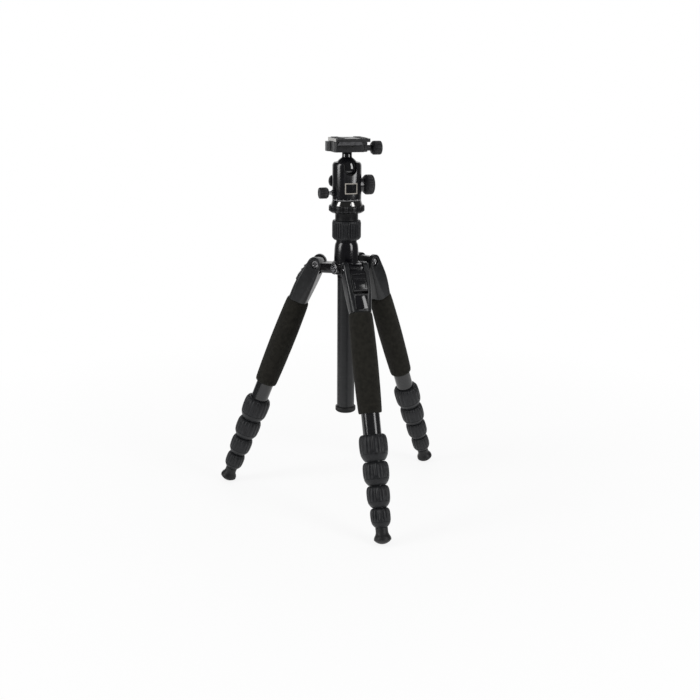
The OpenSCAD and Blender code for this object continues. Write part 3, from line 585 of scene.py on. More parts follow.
    @classmethod
    def cut(cls, piece: bpy.types.Object, *cutters: bpy.types.Object) -> None:
        """Cuts other pieces out of a piece and deletes them.

        Args:
            piece: The piece that stays.
            cutters: What is cut out.
        """
        for cutter in cutters:
            cls._finished(piece, "BOOLEAN", operation="DIFFERENCE", solver="EXACT", object=cutter)
            cls.discard(cutter)

    @classmethod
    def fuse(cls, piece: bpy.types.Object, *others: bpy.types.Object) -> None:
        """Fuses other pieces into a piece and deletes them.

        Args:
            piece: The piece that stays.
            others: What is fused on.
        """
        for other in others:
            cls._finished(piece, "BOOLEAN", operation="UNION", solver="EXACT", object=other)
            cls.discard(other)

    @classmethod
    def gather(cls, piece: bpy.types.Object, *others: bpy.types.Object) -> bpy.types.Object:
        """Joins pieces into one object without fusing them, and returns it."""
        cls.pick(piece, *others)
        bpy.ops.object.join()
        return bpy.context.active_object

    @staticmethod
    def discard(piece: bpy.types.Object) -> None:
        """Deletes a piece with its mesh."""
        mesh = piece.data
        bpy.data.objects.remove(piece)
        bpy.data.meshes.remove(mesh)

    @classmethod
    def welded(cls, piece: bpy.types.Object, angle: float = 0.5) -> None:
        """Merges doubled corners and dissolves edges that are flat within an angle in degrees."""
        cls.pick(piece)
        bpy.ops.object.mode_set(mode="EDIT")
        bpy.ops.mesh.select_all(action="SELECT")
        bpy.ops.mesh.remove_doubles(threshold=0.002)
        bpy.ops.mesh.dissolve_limited(angle_limit=math.radians(angle))
        bpy.ops.object.mode_set(mode="OBJECT")

    @classmethod
    def edged(cls, piece: bpy.types.Object, width: float, steps: int = 2, angle: float = 30.0) -> None:
        """Rounds every edge sharper than an angle in degrees.

        Args:
            piece: The piece.
            width: Width of the rounding.
            steps: Faces across it.
            angle: Least angle of an edge that is rounded.
        """
        cls.welded(piece)
        cls._finished(piece, "BEVEL", width=width, segments=steps, limit_method="ANGLE",
                      angle_limit=math.radians(angle), use_clamp_overlap=True, miter_outer="MITER_ARC")

    @classmethod
    def cast(cls, piece: bpy.types.Object, grain: float, passes: int, keep: float) -> None:
        """Softens a piece all over, as a casting is.

        Args:
            piece: The piece.
            grain: Size of the cells it is remeshed with.
            passes: Smoothing passes.
            keep: Share of the faces that is kept.
        """
        cls._finished(piece, "REMESH", mode="VOXEL", voxel_size=grain)
        cls._finished(piece, "SMOOTH", factor=0.5, iterations=passes)
        cls._finished(piece, "DECIMATE", ratio=keep)

    @classmethod
    def shaded(cls, piece: bpy.types.Object, angle: float = 32.0) -> None:
        """Shades a piece smooth, up to an angle in degrees."""
        cls.pick(piece)
        bpy.ops.object.shade_smooth_by_angle(angle=math.radians(angle))

    @classmethod
    def flat_shaded_sides(cls, piece: bpy.types.Object) -> None:
        """Keeps broad flats flat where they meet rounded edges."""
        cls._finished(piece, "WEIGHTED_NORMAL", keep_sharp=True, weight=80)


def rounded(outline: Outline, radius: float, steps: int = 3) -> list[tuple[float, float]]:
    """Rounds the inner corners of an outline.

    Args:
        outline: Radius and height of each corner.
        radius: How far along each side a rounding starts.
        steps: Points on each rounding, past its first.

    Returns:
        The outline with its corners rounded.
    """
    result = [tuple(outline[0])]
    for before, here, after in zip(outline, outline[1:], outline[2:]):
        one, two = Vector(before) - Vector(here), Vector(after) - Vector(here)
        reach = min(radius, one.length * 0.45, two.length * 0.45)
        if one.length < 1e-6 or two.length < 1e-6 or one.angle(two) > math.radians(165.0):
            result.append(tuple(here))
            continue
        start, end = Vector(here) + one.normalized() * reach, Vector(here) + two.normalized() * reach
        for step in range(steps + 1):
            t = step / steps
            point = start * (1 - t) ** 2 + Vector(here) * 2 * t * (1 - t) + end * t * t
            result.append((point.x, point.y))
    result.append(tuple(outline[-1]))
    return result


def flowing(outline: Outline, steps: int = 4) -> list[tuple[float, float]]:
    """Runs a smooth curve through the points of an outline.

    Args:
        outline: Radius and height of each point.
        steps: New points in each span.

    Returns:
        The points along the curve.
    """
    points = [Vector(p) for p in outline]
    points = [points[0] * 2 - points[1], *points, points[-1] * 2 - points[-2]]
    result = []
    for a, b, c, d in zip(points, points[1:], points[2:], points[3:]):
        for step in range(steps):
            t = step / steps
            point = 0.5 * (2 * b + (c - a) * t + (2 * a - 5 * b + 4 * c - d) * t * t + (3 * b - a - 3 * c + d) * t ** 3)
            result.append((point.x, point.y))
    result.append(tuple(outline[-1]))
    return result


def even(start: float, end: float, count: int) -> list[float]:
    """Evenly spaced values from start to end, both included."""
    return [start + (end - start) * i / (count - 1) for i in range(count)]


@dataclass
class Shop:
    """What every sub-assembly needs: the frame, the shared effects and the materials."""

    frame: dict
    effects: SharedEffects = field(default_factory=SharedEffects)
    materials: dict[Finishes, bpy.types.Material] = field(default_factory=dict)

    def material(self, finish: Finishes) -> bpy.types.Material:
        """The material of a finish, built at its first use."""
        if finish not in self.materials:
            self.materials[finish] = finish.value.made(self.effects)
        return self.materials[finish]

    def seat(self, piece: bpy.types.Object, place: Matrix) -> None:
        """Puts a piece made in millimetres at its place in metres, in its mesh."""
        piece.data.transform(Matrix.Scale(MM, 4) @ place)
        piece.matrix_world = Matrix.Identity(4)
        if place.determinant() < 0:
            piece.data.flip_normals()

    def fit(self, piece: bpy.types.Object, body: str, slot: str, finishes: Sequence[Finishes],
            replaced: Sequence[str] = ()) -> bpy.types.Object:
        """Dresses a seated piece and makes it ride on its body.

        Args:
            piece: The seated piece.
            body: Body that it rides on.
            slot: Material slot of the record that it belongs to; not used.
            finishes: Its finishes, in the order of its material indices.
            replaced: Solids that it stands for.

        Returns:
            The piece.
        """
        chosen = [face.material_index for face in piece.data.polygons]
        piece.data.materials.clear()
        for finish in finishes:
            piece.data.materials.append(self.material(finish))
        for face, index in zip(piece.data.polygons, chosen):
            face.material_index = min(index, len(finishes) - 1)
        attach(piece, body)
        if replaced:
            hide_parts(*replaced)
        LOG.info("%s: %d faces on %s", piece.name, len(piece.data.polygons), body)
        return piece

    def copied(self, master: bpy.types.Object, name: str) -> bpy.types.Object:
        """A copy of a piece with a mesh of its own."""
        piece = master.copy()
        piece.data = master.data.copy()
        piece.name = name
        piece.data.name = name
        bpy.context.scene.collection.objects.link(piece)
        return piece

    def dress_solid(self, node: str, finish: Finishes) -> None:
        """Gives a solid that stays in view its finish."""
        solid = self.frame["nodes"][node]
        for entry in solid.material_slots:
            entry.material = self.material(finish)
        LOG.info("%s: solid dressed in %s", node, finish.value.name)


def set_faces(piece: bpy.types.Object, index: int, chosen: Callable[[Vector, Vector], bool]) -> None:
    """Gives faces another of the piece's materials, chosen by their middle and normal.

    Args:
        piece: The piece, in the units that the choice is made in.
        index: Index of the material.
        chosen: Says from a face's middle and normal whether it is one of them.
    """
    for face in piece.data.polygons:
        if chosen(face.center, face.normal):
            face.material_index = index


@dataclass
class GroovedKnob:
    """A knob along +Z with lengthwise grooves, a rounded rim and a dished end.

    Args:
        name: Name of the piece.
        radius: Radius over the ribs.
        length: Length of the grip.
        count: Number of grooves.
        depth: Depth of a groove.
        stem: Radius and length of each step of the shaft below the grip, from its far end.
    """

    name: str
    radius: float
    length: float
    count: int
    depth: float
    stem: Sequence[tuple[float, float]] = ()

    def made(self) -> bpy.types.Object:
        """Models the knob with the foot of its grip at the origin.

        Returns:
            The knob.
        """
        r, long = self.radius, self.length
        edge = r * 0.18
        grip = [
            (r * 0.74, 0.0), (r * 0.78, edge * 0.15), (r * 0.97, edge * 1.35), (r, edge * 1.9),
            (r, long * 0.5), (r, long - edge * 1.5), (r * 0.985, long - edge * 0.7), (r * 0.93, long - edge * 0.2),
            (r * 0.86, long), (r * 0.66, long), (r * 0.62, long - edge * 0.35), (r * 0.2, long - edge * 0.35),
        ]
        shaft = []
        base = -sum(length for _, length in self.stem)
        for radius, length in self.stem:
            shaft += [(radius, base), (radius, base + length - 0.001)]
            base += length
        knob = Workbench.turned(self.name, [*shaft, *grip], segments=self.count * 6, closed=False)
        full = [(grip[3][1], self.depth), (grip[4][1], self.depth), (grip[5][1], self.depth)]
        ends = [(grip[2][1], self.depth * 0.8), (grip[6][1], self.depth * 0.9), (grip[7][1], self.depth * 0.45)]
        Workbench.grooved(knob, self.count, full + ends, (1.0, 0.62, 0.0), r * 0.9)
        Workbench.shaded(knob, 38.0)
        return knob


@dataclass
class TwistLocks:
    """The four fluted barrels of a leg.

    Args:
        flutes: Flutes round each barrel.
        depth: Depth of a flute.
        cup: Depth of the open cup at the top.
    """

    flutes: int = 18
    depth: float = 0.95
    cup: float = 3.0
    belly_walls: tuple[float, ...] = (6.0, 6.12, 5.82, 5.46)
    end_wall: float = 1.9
    lip: float = 1.5
    reach_in: float = 12.0
    profile: tuple[tuple[float, float], ...] = (
        (0.0, 0.28), (0.035, 0.56), (0.09, 0.78), (0.18, 0.925), (0.3, 0.99), (0.45, 1.0), (0.58, 0.975),
        (0.69, 0.92),
    )
    lower: tuple[tuple[float, float], ...] = (
        (0.72, 0.89), (0.78, 0.8), (0.86, 0.6), (0.93, 0.36), (1.0, 0.05),
    )

    def barrel(self, index: int) -> bpy.types.Object:
        """Models one barrel with its top at the origin.

        Args:
            index: Which lock, from 0.

        Returns:
            The barrel.
        """
        length = LOCK_LENGTHS[index] - GAP
        tip = TUBE_R[index + 1] + self.end_wall
        belly = TUBE_R[index] + self.belly_walls[index]
        bore, slide = TUBE_R[index] + 0.05, TUBE_R[index + 1] + GAP

        def at(share: tuple[float, float]) -> tuple[float, float]:
            """Radius and height of a point of the profile."""
            return tip + (belly - tip) * share[1], -length * share[0]

        upper = flowing([at(p) for p in self.profile], 3)
        under = flowing([at(p) for p in self.lower], 3)
        top_r = upper[0][0]
        groove = [(upper[-1][0] - 0.5, upper[-1][1] - length * 0.012), (under[0][0] - 0.35, under[0][1] + 0.25)]
        outline = [
            (slide, -length), (slide, -self.reach_in - GAP), (bore, -self.reach_in - GAP), (bore, -self.cup),
            (top_r - self.lip, -self.cup), (top_r - self.lip, -0.35), (top_r - self.lip + 0.35, 0.0),
            (top_r - 0.45, 0.0), (top_r - 0.05, -0.25), *upper[1:], *groove, *under,
        ]
        barrel = Workbench.turned(f"barrel_{index}", outline, segments=self.flutes * 8)
        fade = length * 0.67
        levels = [(-0.25, self.depth * 0.9)]
        for radius, height in upper[1:]:
            share = min(1.0, max(0.0, (fade + height) / (length * 0.16)))
            levels.append((height, self.depth * (0.35 + 0.65 * share)))
        Workbench.grooved(barrel, self.flutes, levels, (1.0, 0.78, 0.18), top_r - self.lip * 0.6)
        Workbench.shaded(barrel, 40.0)
        return barrel


@dataclass
class LegPieces:
    """One leg's pieces in the leg's own frame, with the pin at the origin and the leg along -Z.

    Args:
        ear_r: Radius of the hinge ears.
        ear_span: Width over both ears.
        slot_w: Width of the slot between them.
        slot_depth: Depth of the slot below the pin.
        casting_l: Distance from the pin to the casting's lower end.
        casting_w: Width of that end.
        casting_t: Thickness of that end.
        window_floor: Height of the window's floor over the tube's axis.
        window_end: Distance from the pin to the window's lower end.
    """

    ear_r: float = 7.8
    ear_span: float = 31.0
    slot_w: float = 18.4
    slot_depth: float = 11.5
    casting_l: float = 54.4
    casting_w: float = 25.6
    casting_t: float = 23.8
    window_floor: float = 2.8
    window_end: float = 32.8
    foam_l: float = 119.8
    foam_r: float = 15.4
    foot_l: float = 19.1
    flange_r: float = 10.25
    sole_r: float = 13.0

    def casting(self) -> bpy.types.Object:
        """Models the hinge casting: ears, slot, window, sunk label place and tube socket."""
        inner, outer = LEG_OFFSET - self.casting_t / 2, LEG_OFFSET + self.casting_t / 2
        chamfer = self.ear_r * 0.14
        half = self.ear_span / 2
        shell = Workbench.rod("casting", self.ear_r, (0, chamfer - half, 0), (0, half - chamfer, 0), 72)
        parts = [Workbench.rod("ear", self.ear_r - chamfer, (0, -half, 0), (0, half, 0), 72)]
        for reach, end in ((self.ear_r, half - chamfer), (self.ear_r - chamfer, half)):
            parts.append(Workbench.rod("ear", reach, (1.56, -end, 0.62), (1.56, end, 0.62), 72))
        shares = ((0.29, 0.07, 0.2, 0.9, 0.13), (0.48, 0.06, 0.11, 0.72, 0.17), (0.7, 0.035, 0.045, 0.4, 0.24),
                  (1.0, 0.0, 0.0, 0.0, 0.36))
        columns = [flowing([(row[0], row[place]) for row in shares], 3) for place in (1, 2, 3, 4)]
        for swell, drawn, wide, soft in zip(*columns):
            down, low, high = self.casting_l * swell[0], inner - self.casting_t * swell[1], outer - self.casting_t * drawn[1]
            width, corner = self.casting_w + (self.ear_span - self.casting_w) * wide[1], self.casting_t * soft[1]
            for x in (low + corner, high - corner):
                for y in (corner - width / 2, width / 2 - corner):
                    parts.append(Workbench.rod("corner", corner, (x, y, -down), (x, y, chamfer - down), 40))
        shell = Workbench.gather(shell, *parts)
        bpy.ops.object.mode_set(mode="EDIT")
        bpy.ops.mesh.select_all(action="SELECT")
        bpy.ops.mesh.convex_hull()
        bpy.ops.object.mode_set(mode="OBJECT")
        far = 40.0
        slot = Workbench.block("slot", (-far, -self.slot_w / 2, -self.slot_depth), (far, self.slot_w / 2, far))
        window = Workbench.block("window", (LEG_OFFSET + self.window_floor, -self.slot_w / 2, -self.window_end),
                                 (far, self.slot_w / 2, 0.0))
        Workbench.edged(window, 1.0, 3)
        panel = Workbench.block("panel", (outer - 1.5, 1.6 - self.slot_w / 2, 3.0 - self.casting_l),
                                (far, self.slot_w / 2 - 1.6, -self.window_end - 1.8))
        Workbench.edged(panel, 0.8, 2)
        socket = Workbench.rod("socket", TUBE_R[0] + 0.05, (LEG_OFFSET, 0, -far * 2), (LEG_OFFSET, 0, -TUBE_TOPS[0]), 96)
        Workbench.cut(shell, slot, window, panel, socket)
        Workbench.cut(shell, Workbench.rod("pin", 2.55, (0, -far, 0), (0, far, 0)))
        for side in (-1, 1):
            Workbench.cut(shell, Workbench.rod("recess", 5.3, (0, side * (half - 4.0), 0), (0, side * far, 0), 96))
        Workbench.cast(shell, 0.34, 3, 0.45)
        Workbench.shaded(shell, 60.0)
        return shell

    def label_panel(self) -> bpy.types.Object:
        """Models the glossy bare plate, gently swelled, in the sunk place below the window."""
        outer = LEG_OFFSET + self.casting_t / 2
        swell, half = 26.0, self.slot_w / 2 - 1.9
        low, high = 3.3 - self.casting_l, -self.window_end - 2.1
        middle = outer - 0.35 - swell
        plate = Workbench.rod("label", swell, (middle, 0, low), (middle, 0, high), 256)
        Workbench.trimmed(plate, (((0, half, 0), (0, 1, 0)), ((0, -half, 0), (0, -1, 0)),
                                  ((outer - 1.75, 0, 0), (-1, 0, 0))))
        Workbench.edged(plate, 0.3, 2)
        Workbench.shaded(plate, 40.0)
        return plate

    def button(self) -> bpy.types.Object:
        """Models the angle lock button, with ribs over a raised pad."""
        floor, top, end = 8.8, -3.0, -30.0
        width = self.slot_w / 2 - GAP - 0.02
        outer = LEG_OFFSET + self.casting_t * 0.48
        body = Workbench.block("button", (floor, -width, end), (outer, width, top), cuts=(
            ((9.73, 0, top), (0.82, 0, 0.57)), ((12.95, 0, -7.6), (0.978, 0, 0.208)),
            ((outer - 0.1, 0, -24.0), (0.96, 0, 0.28)), ((outer, 0, end + 1.9), (0.8, 0, -0.6)),
        ))
        Workbench.edged(body, 0.7, 3, 20.0)
        for index in range(4):
            down = 8.6 + index * 2.0
            x = 12.95 + (down - 7.6) * 0.28
            rib = Workbench.rod("rib", 0.62, (x, 1.6 - width, -down), (x, width - 1.6, -down), 24)
            Workbench.fuse(body, rib)
        pad = Workbench.block("pad", (outer - 5.0, 2.2 - width, end + 2.6), (outer + 0.0, width - 2.2, -17.2), cuts=(
            ((outer - 0.35, 0, -21.5), (0.96, 0, 0.28)),
        ))
        Workbench.edged(pad, 0.8, 3, 20.0)
        Workbench.fuse(body, pad)
        pawl = Workbench.block("pawl", (7.2, -4.0, -9.7), (9.2, 4.0, -7.1))
        Workbench.fuse(body, pawl)
        Workbench.shaded(body, 35.0)
        return body

    def foam(self) -> bpy.types.Object:
        """Models the foam grip as a swelling sleeve with soft ends."""
        shares = ((0.012, 0.9), (0.03, 0.925), (0.1, 0.955), (0.2, 0.973), (0.33, 0.993), (0.48, 1.0),
                  (0.62, 0.99), (0.78, 0.97), (0.9, 0.943), (0.975, 0.92))
        side = flowing([(self.foam_r * r, -self.foam_l * s) for s, r in shares], 6)
        bore = TUBE_R[0] + 0.03
        outline = [
            (bore, -self.foam_l), (bore, 0.0), (self.foam_r * 0.82, 0.0), (self.foam_r * 0.87, -0.35),
            *side, (self.foam_r * 0.89, -self.foam_l + 0.35), (self.foam_r * 0.84, -self.foam_l),
        ]
        sleeve = Workbench.turned("sleeve", outline, segments=112)
        Workbench.shaded(sleeve, 60.0)
        return sleeve

    def tube(self, index: int) -> bpy.types.Object:
        """Models one section tube, with its ends eased."""
        radius, length = TUBE_R[index], TUBE_ENDS[index] - TUBE_TOPS[index]
        inner = radius - TUBE_WALL
        outline = [(inner, -length), (inner, 0.0), (radius - 0.25, 0.0), (radius, -0.25), (radius, 0.25 - length),
                   (radius - 0.25, -length)]
        tube = Workbench.turned(f"section_{index}", outline, segments=96)
        Workbench.shaded(tube, 30.0)
        return tube

    def foot(self) -> bpy.types.Object:
        """Models the rubber foot: neck, flange and domed sole."""
        flange, long = self.flange_r, self.foot_l
        neck = flowing([(flange * r, -long * s) for s, r in
                        ((0.03, 0.73), (0.16, 0.715), (0.3, 0.73), (0.42, 0.8), (0.54, 0.93), (0.63, 0.99))], 4)
        start = math.asin(flange / self.sole_r)
        dome = [(self.sole_r * math.sin(start * t), -long + self.sole_r * (1 - math.cos(start * t)))
                for t in even(1.0, 0.04, 12)]
        outline = [
            (5.03, -10.5), (5.03, 0.0), (flange * 0.7, 0.0), *neck, (flange, -long * 0.7), (flange, -long * 0.745),
            (flange - 0.3, -long * 0.75), (flange - 0.3, -long * 0.763), *dome,
        ]
        foot = Workbench.turned("shoe", outline, segments=96, closed=False)
        Workbench.shaded(foot, 35.0)
        return foot


class LegSet:
    """Models the pieces of one leg and copies them to the three legs."""

    def __init__(self, shop: Shop) -> None:
        """Keeps the shop and the sizes."""
        self.shop = shop
        self.sizes = LegPieces()
        self.locks = TwistLocks()

    def _spread(self, master: bpy.types.Object, label: str, body: str, slot: str, finish: Finishes,
                node: str | None, down: float | None = None) -> list[bpy.types.Object]:
        """Copies a piece to each leg and deletes the master.

        Args:
            master: The piece in the leg's frame.
            label: Name of the piece, less its leg.
            body: Name of its body, less its leg.
            slot: Material slot of the record.
            finish: Its finish.
            node: Solid that it stands for, less its leg, or None.
            down: Distance down the tube's axis, or None for the leg's own frame.

        Returns:
            The three copies.
        """
        result = []
        for leg in Leg:
            piece = self.shop.copied(master, f"{leg.prefix}_{label}")
            self.shop.seat(piece, leg.frame() if down is None else leg.down_tube(down))
            replaced = [f"{leg.prefix}_{node}"] if node else []
            self.shop.fit(piece, f"{leg.prefix}_{body}", slot, [finish], replaced)
            result.append(piece)
        Workbench.discard(master)
        return result

    def build(self) -> None:
        """Builds every piece of the legs."""
        sizes = self.sizes
        self._spread(sizes.casting(), "hinge_casting", "leg", "satin_black_casting", Finishes.CASTING, "leg_casting")
        self._spread(sizes.label_panel(), "blank_label", "leg", "satin_black_casting", Finishes.PANEL, None)
        self._spread(sizes.button(), "lock_button", "button", "button_plastic", Finishes.BUTTON, "angle_button")
        grips = self._spread(sizes.foam(), "foam_sleeve", "leg", "foam", Finishes.FOAM, "foam_grip",
                             sizes.casting_l + GAP)
        for index in range(5):
            body = "leg" if index == 0 else f"section_{index + 1}"
            self._spread(sizes.tube(index), f"section_tube_{index + 1}", body, "grey_anodised_tube", Finishes.TUBE,
                         f"tube_{index + 1}", TUBE_TOPS[index])
        for index in range(4):
            self._spread(self.locks.barrel(index), f"twist_barrel_{index + 1}", f"lock_{index + 1}", "grip_rubber",
                         Finishes.RUBBER, f"twist_lock_{index + 1}", LOCK_TOPS[index])
        self._spread(sizes.foot(), "rubber_shoe", "section_5", "foot_rubber", Finishes.FOOT, "foot", FOOT_TOP)


@dataclass
class Spider:
    """The spider with its bell, the hinge bolts and the accessory insert.

    Args:
        hub_z: Height of the hub's underside.
        hub_h: Height of the hub.
        hub_r: Radius of the hub.
        bell_h: Height of the bell.
        arm_w: Width of an arm.
        lug_r: Radius of the lug round a pin.
        boss_azimuth: Direction of the accessory boss.
    """

    shop: Shop
    hub_z: float = PIVOT_Z - 11.0
    hub_h: float = 15.0
    hub_r: float = 18.0
    bell_h: float = 23.7
    bell_r: float = 15.25
    bell_top_r: float = 13.0
    arm_w: float = 17.7
    lug_r: float = 6.9
    arm_rise: float = 1.2
    arm_drop: float = 11.0
    boss_azimuth: float = 210.0
    boss_r: float = 6.8
    boss_face: float = 22.0

    def build(self) -> None:
        """Builds the spider and what is fixed in it."""
        self._body()
        self._bolts()
        self._insert()

    def _arm(self) -> bpy.types.Object:
        """One arm along +X with its lug, about the pin's height."""
        bar = Workbench.block("arm", (12.5, -self.arm_w / 2, -self.arm_drop), (PIVOT_R, self.arm_w / 2, self.arm_rise),
                              cuts=(((28.2, 0, -self.arm_drop), (0.444, 0, -0.896)),))
        Workbench.edged(bar, 1.1, 3)
        lug = Workbench.turned("lug", rounded([(2.53, -self.arm_w / 2), (self.lug_r, -self.arm_w / 2),
                                               (self.lug_r, self.arm_w / 2), (2.53, self.arm_w / 2)], 0.7), 80)
        lug.data.transform(Matrix.Translation((PIVOT_R, 0, 0)) @ Matrix.Rotation(math.radians(90), 4, "X"))
        hole = Workbench.rod("hole", 2.53, (PIVOT_R, -20, 0), (PIVOT_R, 20, 0))
        Workbench.cut(bar, hole)
        Workbench.fuse(bar, lug)
        for angle in (0.0, 33.0, 58.0):
            notch = Workbench.block("notch", (self.lug_r * 0.85, -self.arm_w * 0.3, -self.lug_r * 0.14),
                                    (self.lug_r * 1.85, self.arm_w * 0.3, self.lug_r * 0.14))
            notch.data.transform(Matrix.Translation((PIVOT_R, 0, 0))
                                 @ Matrix.Rotation(math.radians(LEG_TILT * 0.4 - angle), 4, "Y"))
            Workbench.cut(bar, notch)
        return bar

    def _body(self) -> None:
        """Turns the hub and the bell and fuses the arms and the boss on."""
        hub, top = self.hub_z, self.hub_z + self.hub_h
        slope = flowing([(self.bell_r, top + 0.6), (self.bell_r - 0.15, top + self.bell_h * 0.35),
                         (self.bell_r - 0.5, top + self.bell_h * 0.66), (self.bell_r - 1.1, top + self.bell_h * 0.86),
                         (self.bell_top_r + 0.35, top + self.bell_h * 0.955), (self.bell_top_r - 0.2, top + self.bell_h)],
                        6)
        outline = [
            *rounded([(11.3, hub), (self.hub_r, hub), (self.hub_r, hub + self.hub_h * 0.88),
                      (self.bell_r + 0.6, top), (self.bell_r, top + 0.6)], 0.6)[:-1],
            *slope, (12.8, top + self.bell_h + 0.05), (12.8, top + self.bell_h + 17.3), (11.3, top + self.bell_h + 17.3),
        ]
        body = Workbench.turned("hub", outline, segments=128)
        for leg in Leg:
            arm = self._arm()
            arm.data.transform(Matrix.Rotation(math.radians(leg.value), 4, "Z") @ Matrix.Translation((0, 0, PIVOT_Z)))
            Workbench.fuse(body, arm)
        turn = Matrix.Rotation(math.radians(self.boss_azimuth), 4, "Z") @ Matrix.Translation((0, 0, hub + self.hub_h / 2))
        along = turn @ Matrix.Rotation(math.radians(90), 4, "Y")
        boss = Workbench.turned("boss", rounded([(5.61, 12.6), (self.boss_r, 12.6), (self.boss_r, self.boss_face),
                                                 (5.61, self.boss_face)], 0.6), 72)
        boss.data.transform(along)
        seat = Workbench.rod("seat", 5.61, (0, 0, 12.8), (0, 0, 40.0), 72)
        seat.data.transform(along)
        Workbench.fuse(body, boss)
        Workbench.cut(body, seat)
        Workbench.cut(body, Workbench.rod("bore", 11.3, (0, 0, hub - 5), (0, 0, top + 60), 128))
        Workbench.shaded(body, 30.0)
        self.shop.seat(body, Matrix.Identity(4))
        body.name = "spider_hub"
        self.shop.fit(body, "chassis", "gloss_black_metal", [Finishes.GLOSS], ["spider"])

    def _bolts(self) -> None:
        """Turns one hinge bolt with a socket head at each end and sets three."""
        half, head_r, head_h = 13.3, 5.0, 1.8
        side = rounded([(head_r * 0.45, half - 1.2), (head_r * 0.62, half), (head_r - 0.45, half),
                        (head_r, half - 0.5), (head_r, half - head_h), (2.5, half - head_h), (2.5, 0.0)], 0.25)
        outline = [(0.4, half - 1.2), *side[:-1], *[(r, -z) for r, z in reversed(side[:-1])], (0.4, 1.2 - half)]
        bolt = Workbench.turned("bolt", outline, segments=72, closed=False)
        for end in (-1, 1):
            hexagon = Workbench.rod("socket", 2.45, (0, 0, end * (half - 1.6)), (0, 0, end * 30), 6)
            Workbench.cut(bolt, hexagon)
        bolt.data.transform(Matrix.Rotation(math.radians(90), 4, "X"))
        Workbench.shaded(bolt, 30.0)
        bolts = []
        for leg in Leg:
            piece = self.shop.copied(bolt, f"{leg.prefix}_bolt")
            piece.data.transform(leg.frame())
            bolts.append(piece)
        Workbench.discard(bolt)
        joined = Workbench.gather(*bolts)
        joined.name = "socket_bolts"
        self.shop.seat(joined, Matrix.Identity(4))
        self.shop.fit(joined, "chassis", "chrome", [Finishes.CHROME], ["hinge_bolts"])

    def _insert(self) -> None:
        """Turns the steel insert of the accessory boss, with its thread cut as rings."""
        rim = self.boss_face + GAP
        thread = []
        turns = 5
        for index in range(turns * 2):
            thread.append((4.76 if index % 2 == 0 else 5.05, rim - 0.9 - index * 0.78))
        outline = [*rounded([(4.2, 13.1), (5.57, 13.1), (5.57, rim - 0.3), (5.3, rim), (4.95, rim)], 0.15),
                   *thread, (4.76, 14.0), (4.2, 13.6)]
        insert = Workbench.turned("insert_ring", outline, segments=72)
        floor = Workbench.rod("floor", 4.6, (0, 0, 13.1), (0, 0, 14.0), 72)
        Workbench.fuse(insert, floor)
        Workbench.shaded(insert, 30.0)
        place = (Matrix.Rotation(math.radians(self.boss_azimuth), 4, "Z")
                 @ Matrix.Translation((0, 0, self.hub_z + self.hub_h / 2)) @ Matrix.Rotation(math.radians(90), 4, "Y"))
        self.shop.seat(insert, place)
        insert.name = "threaded_insert"
        self.shop.fit(insert, "chassis", "steel", [Finishes.STEEL], ["accessory_insert"])


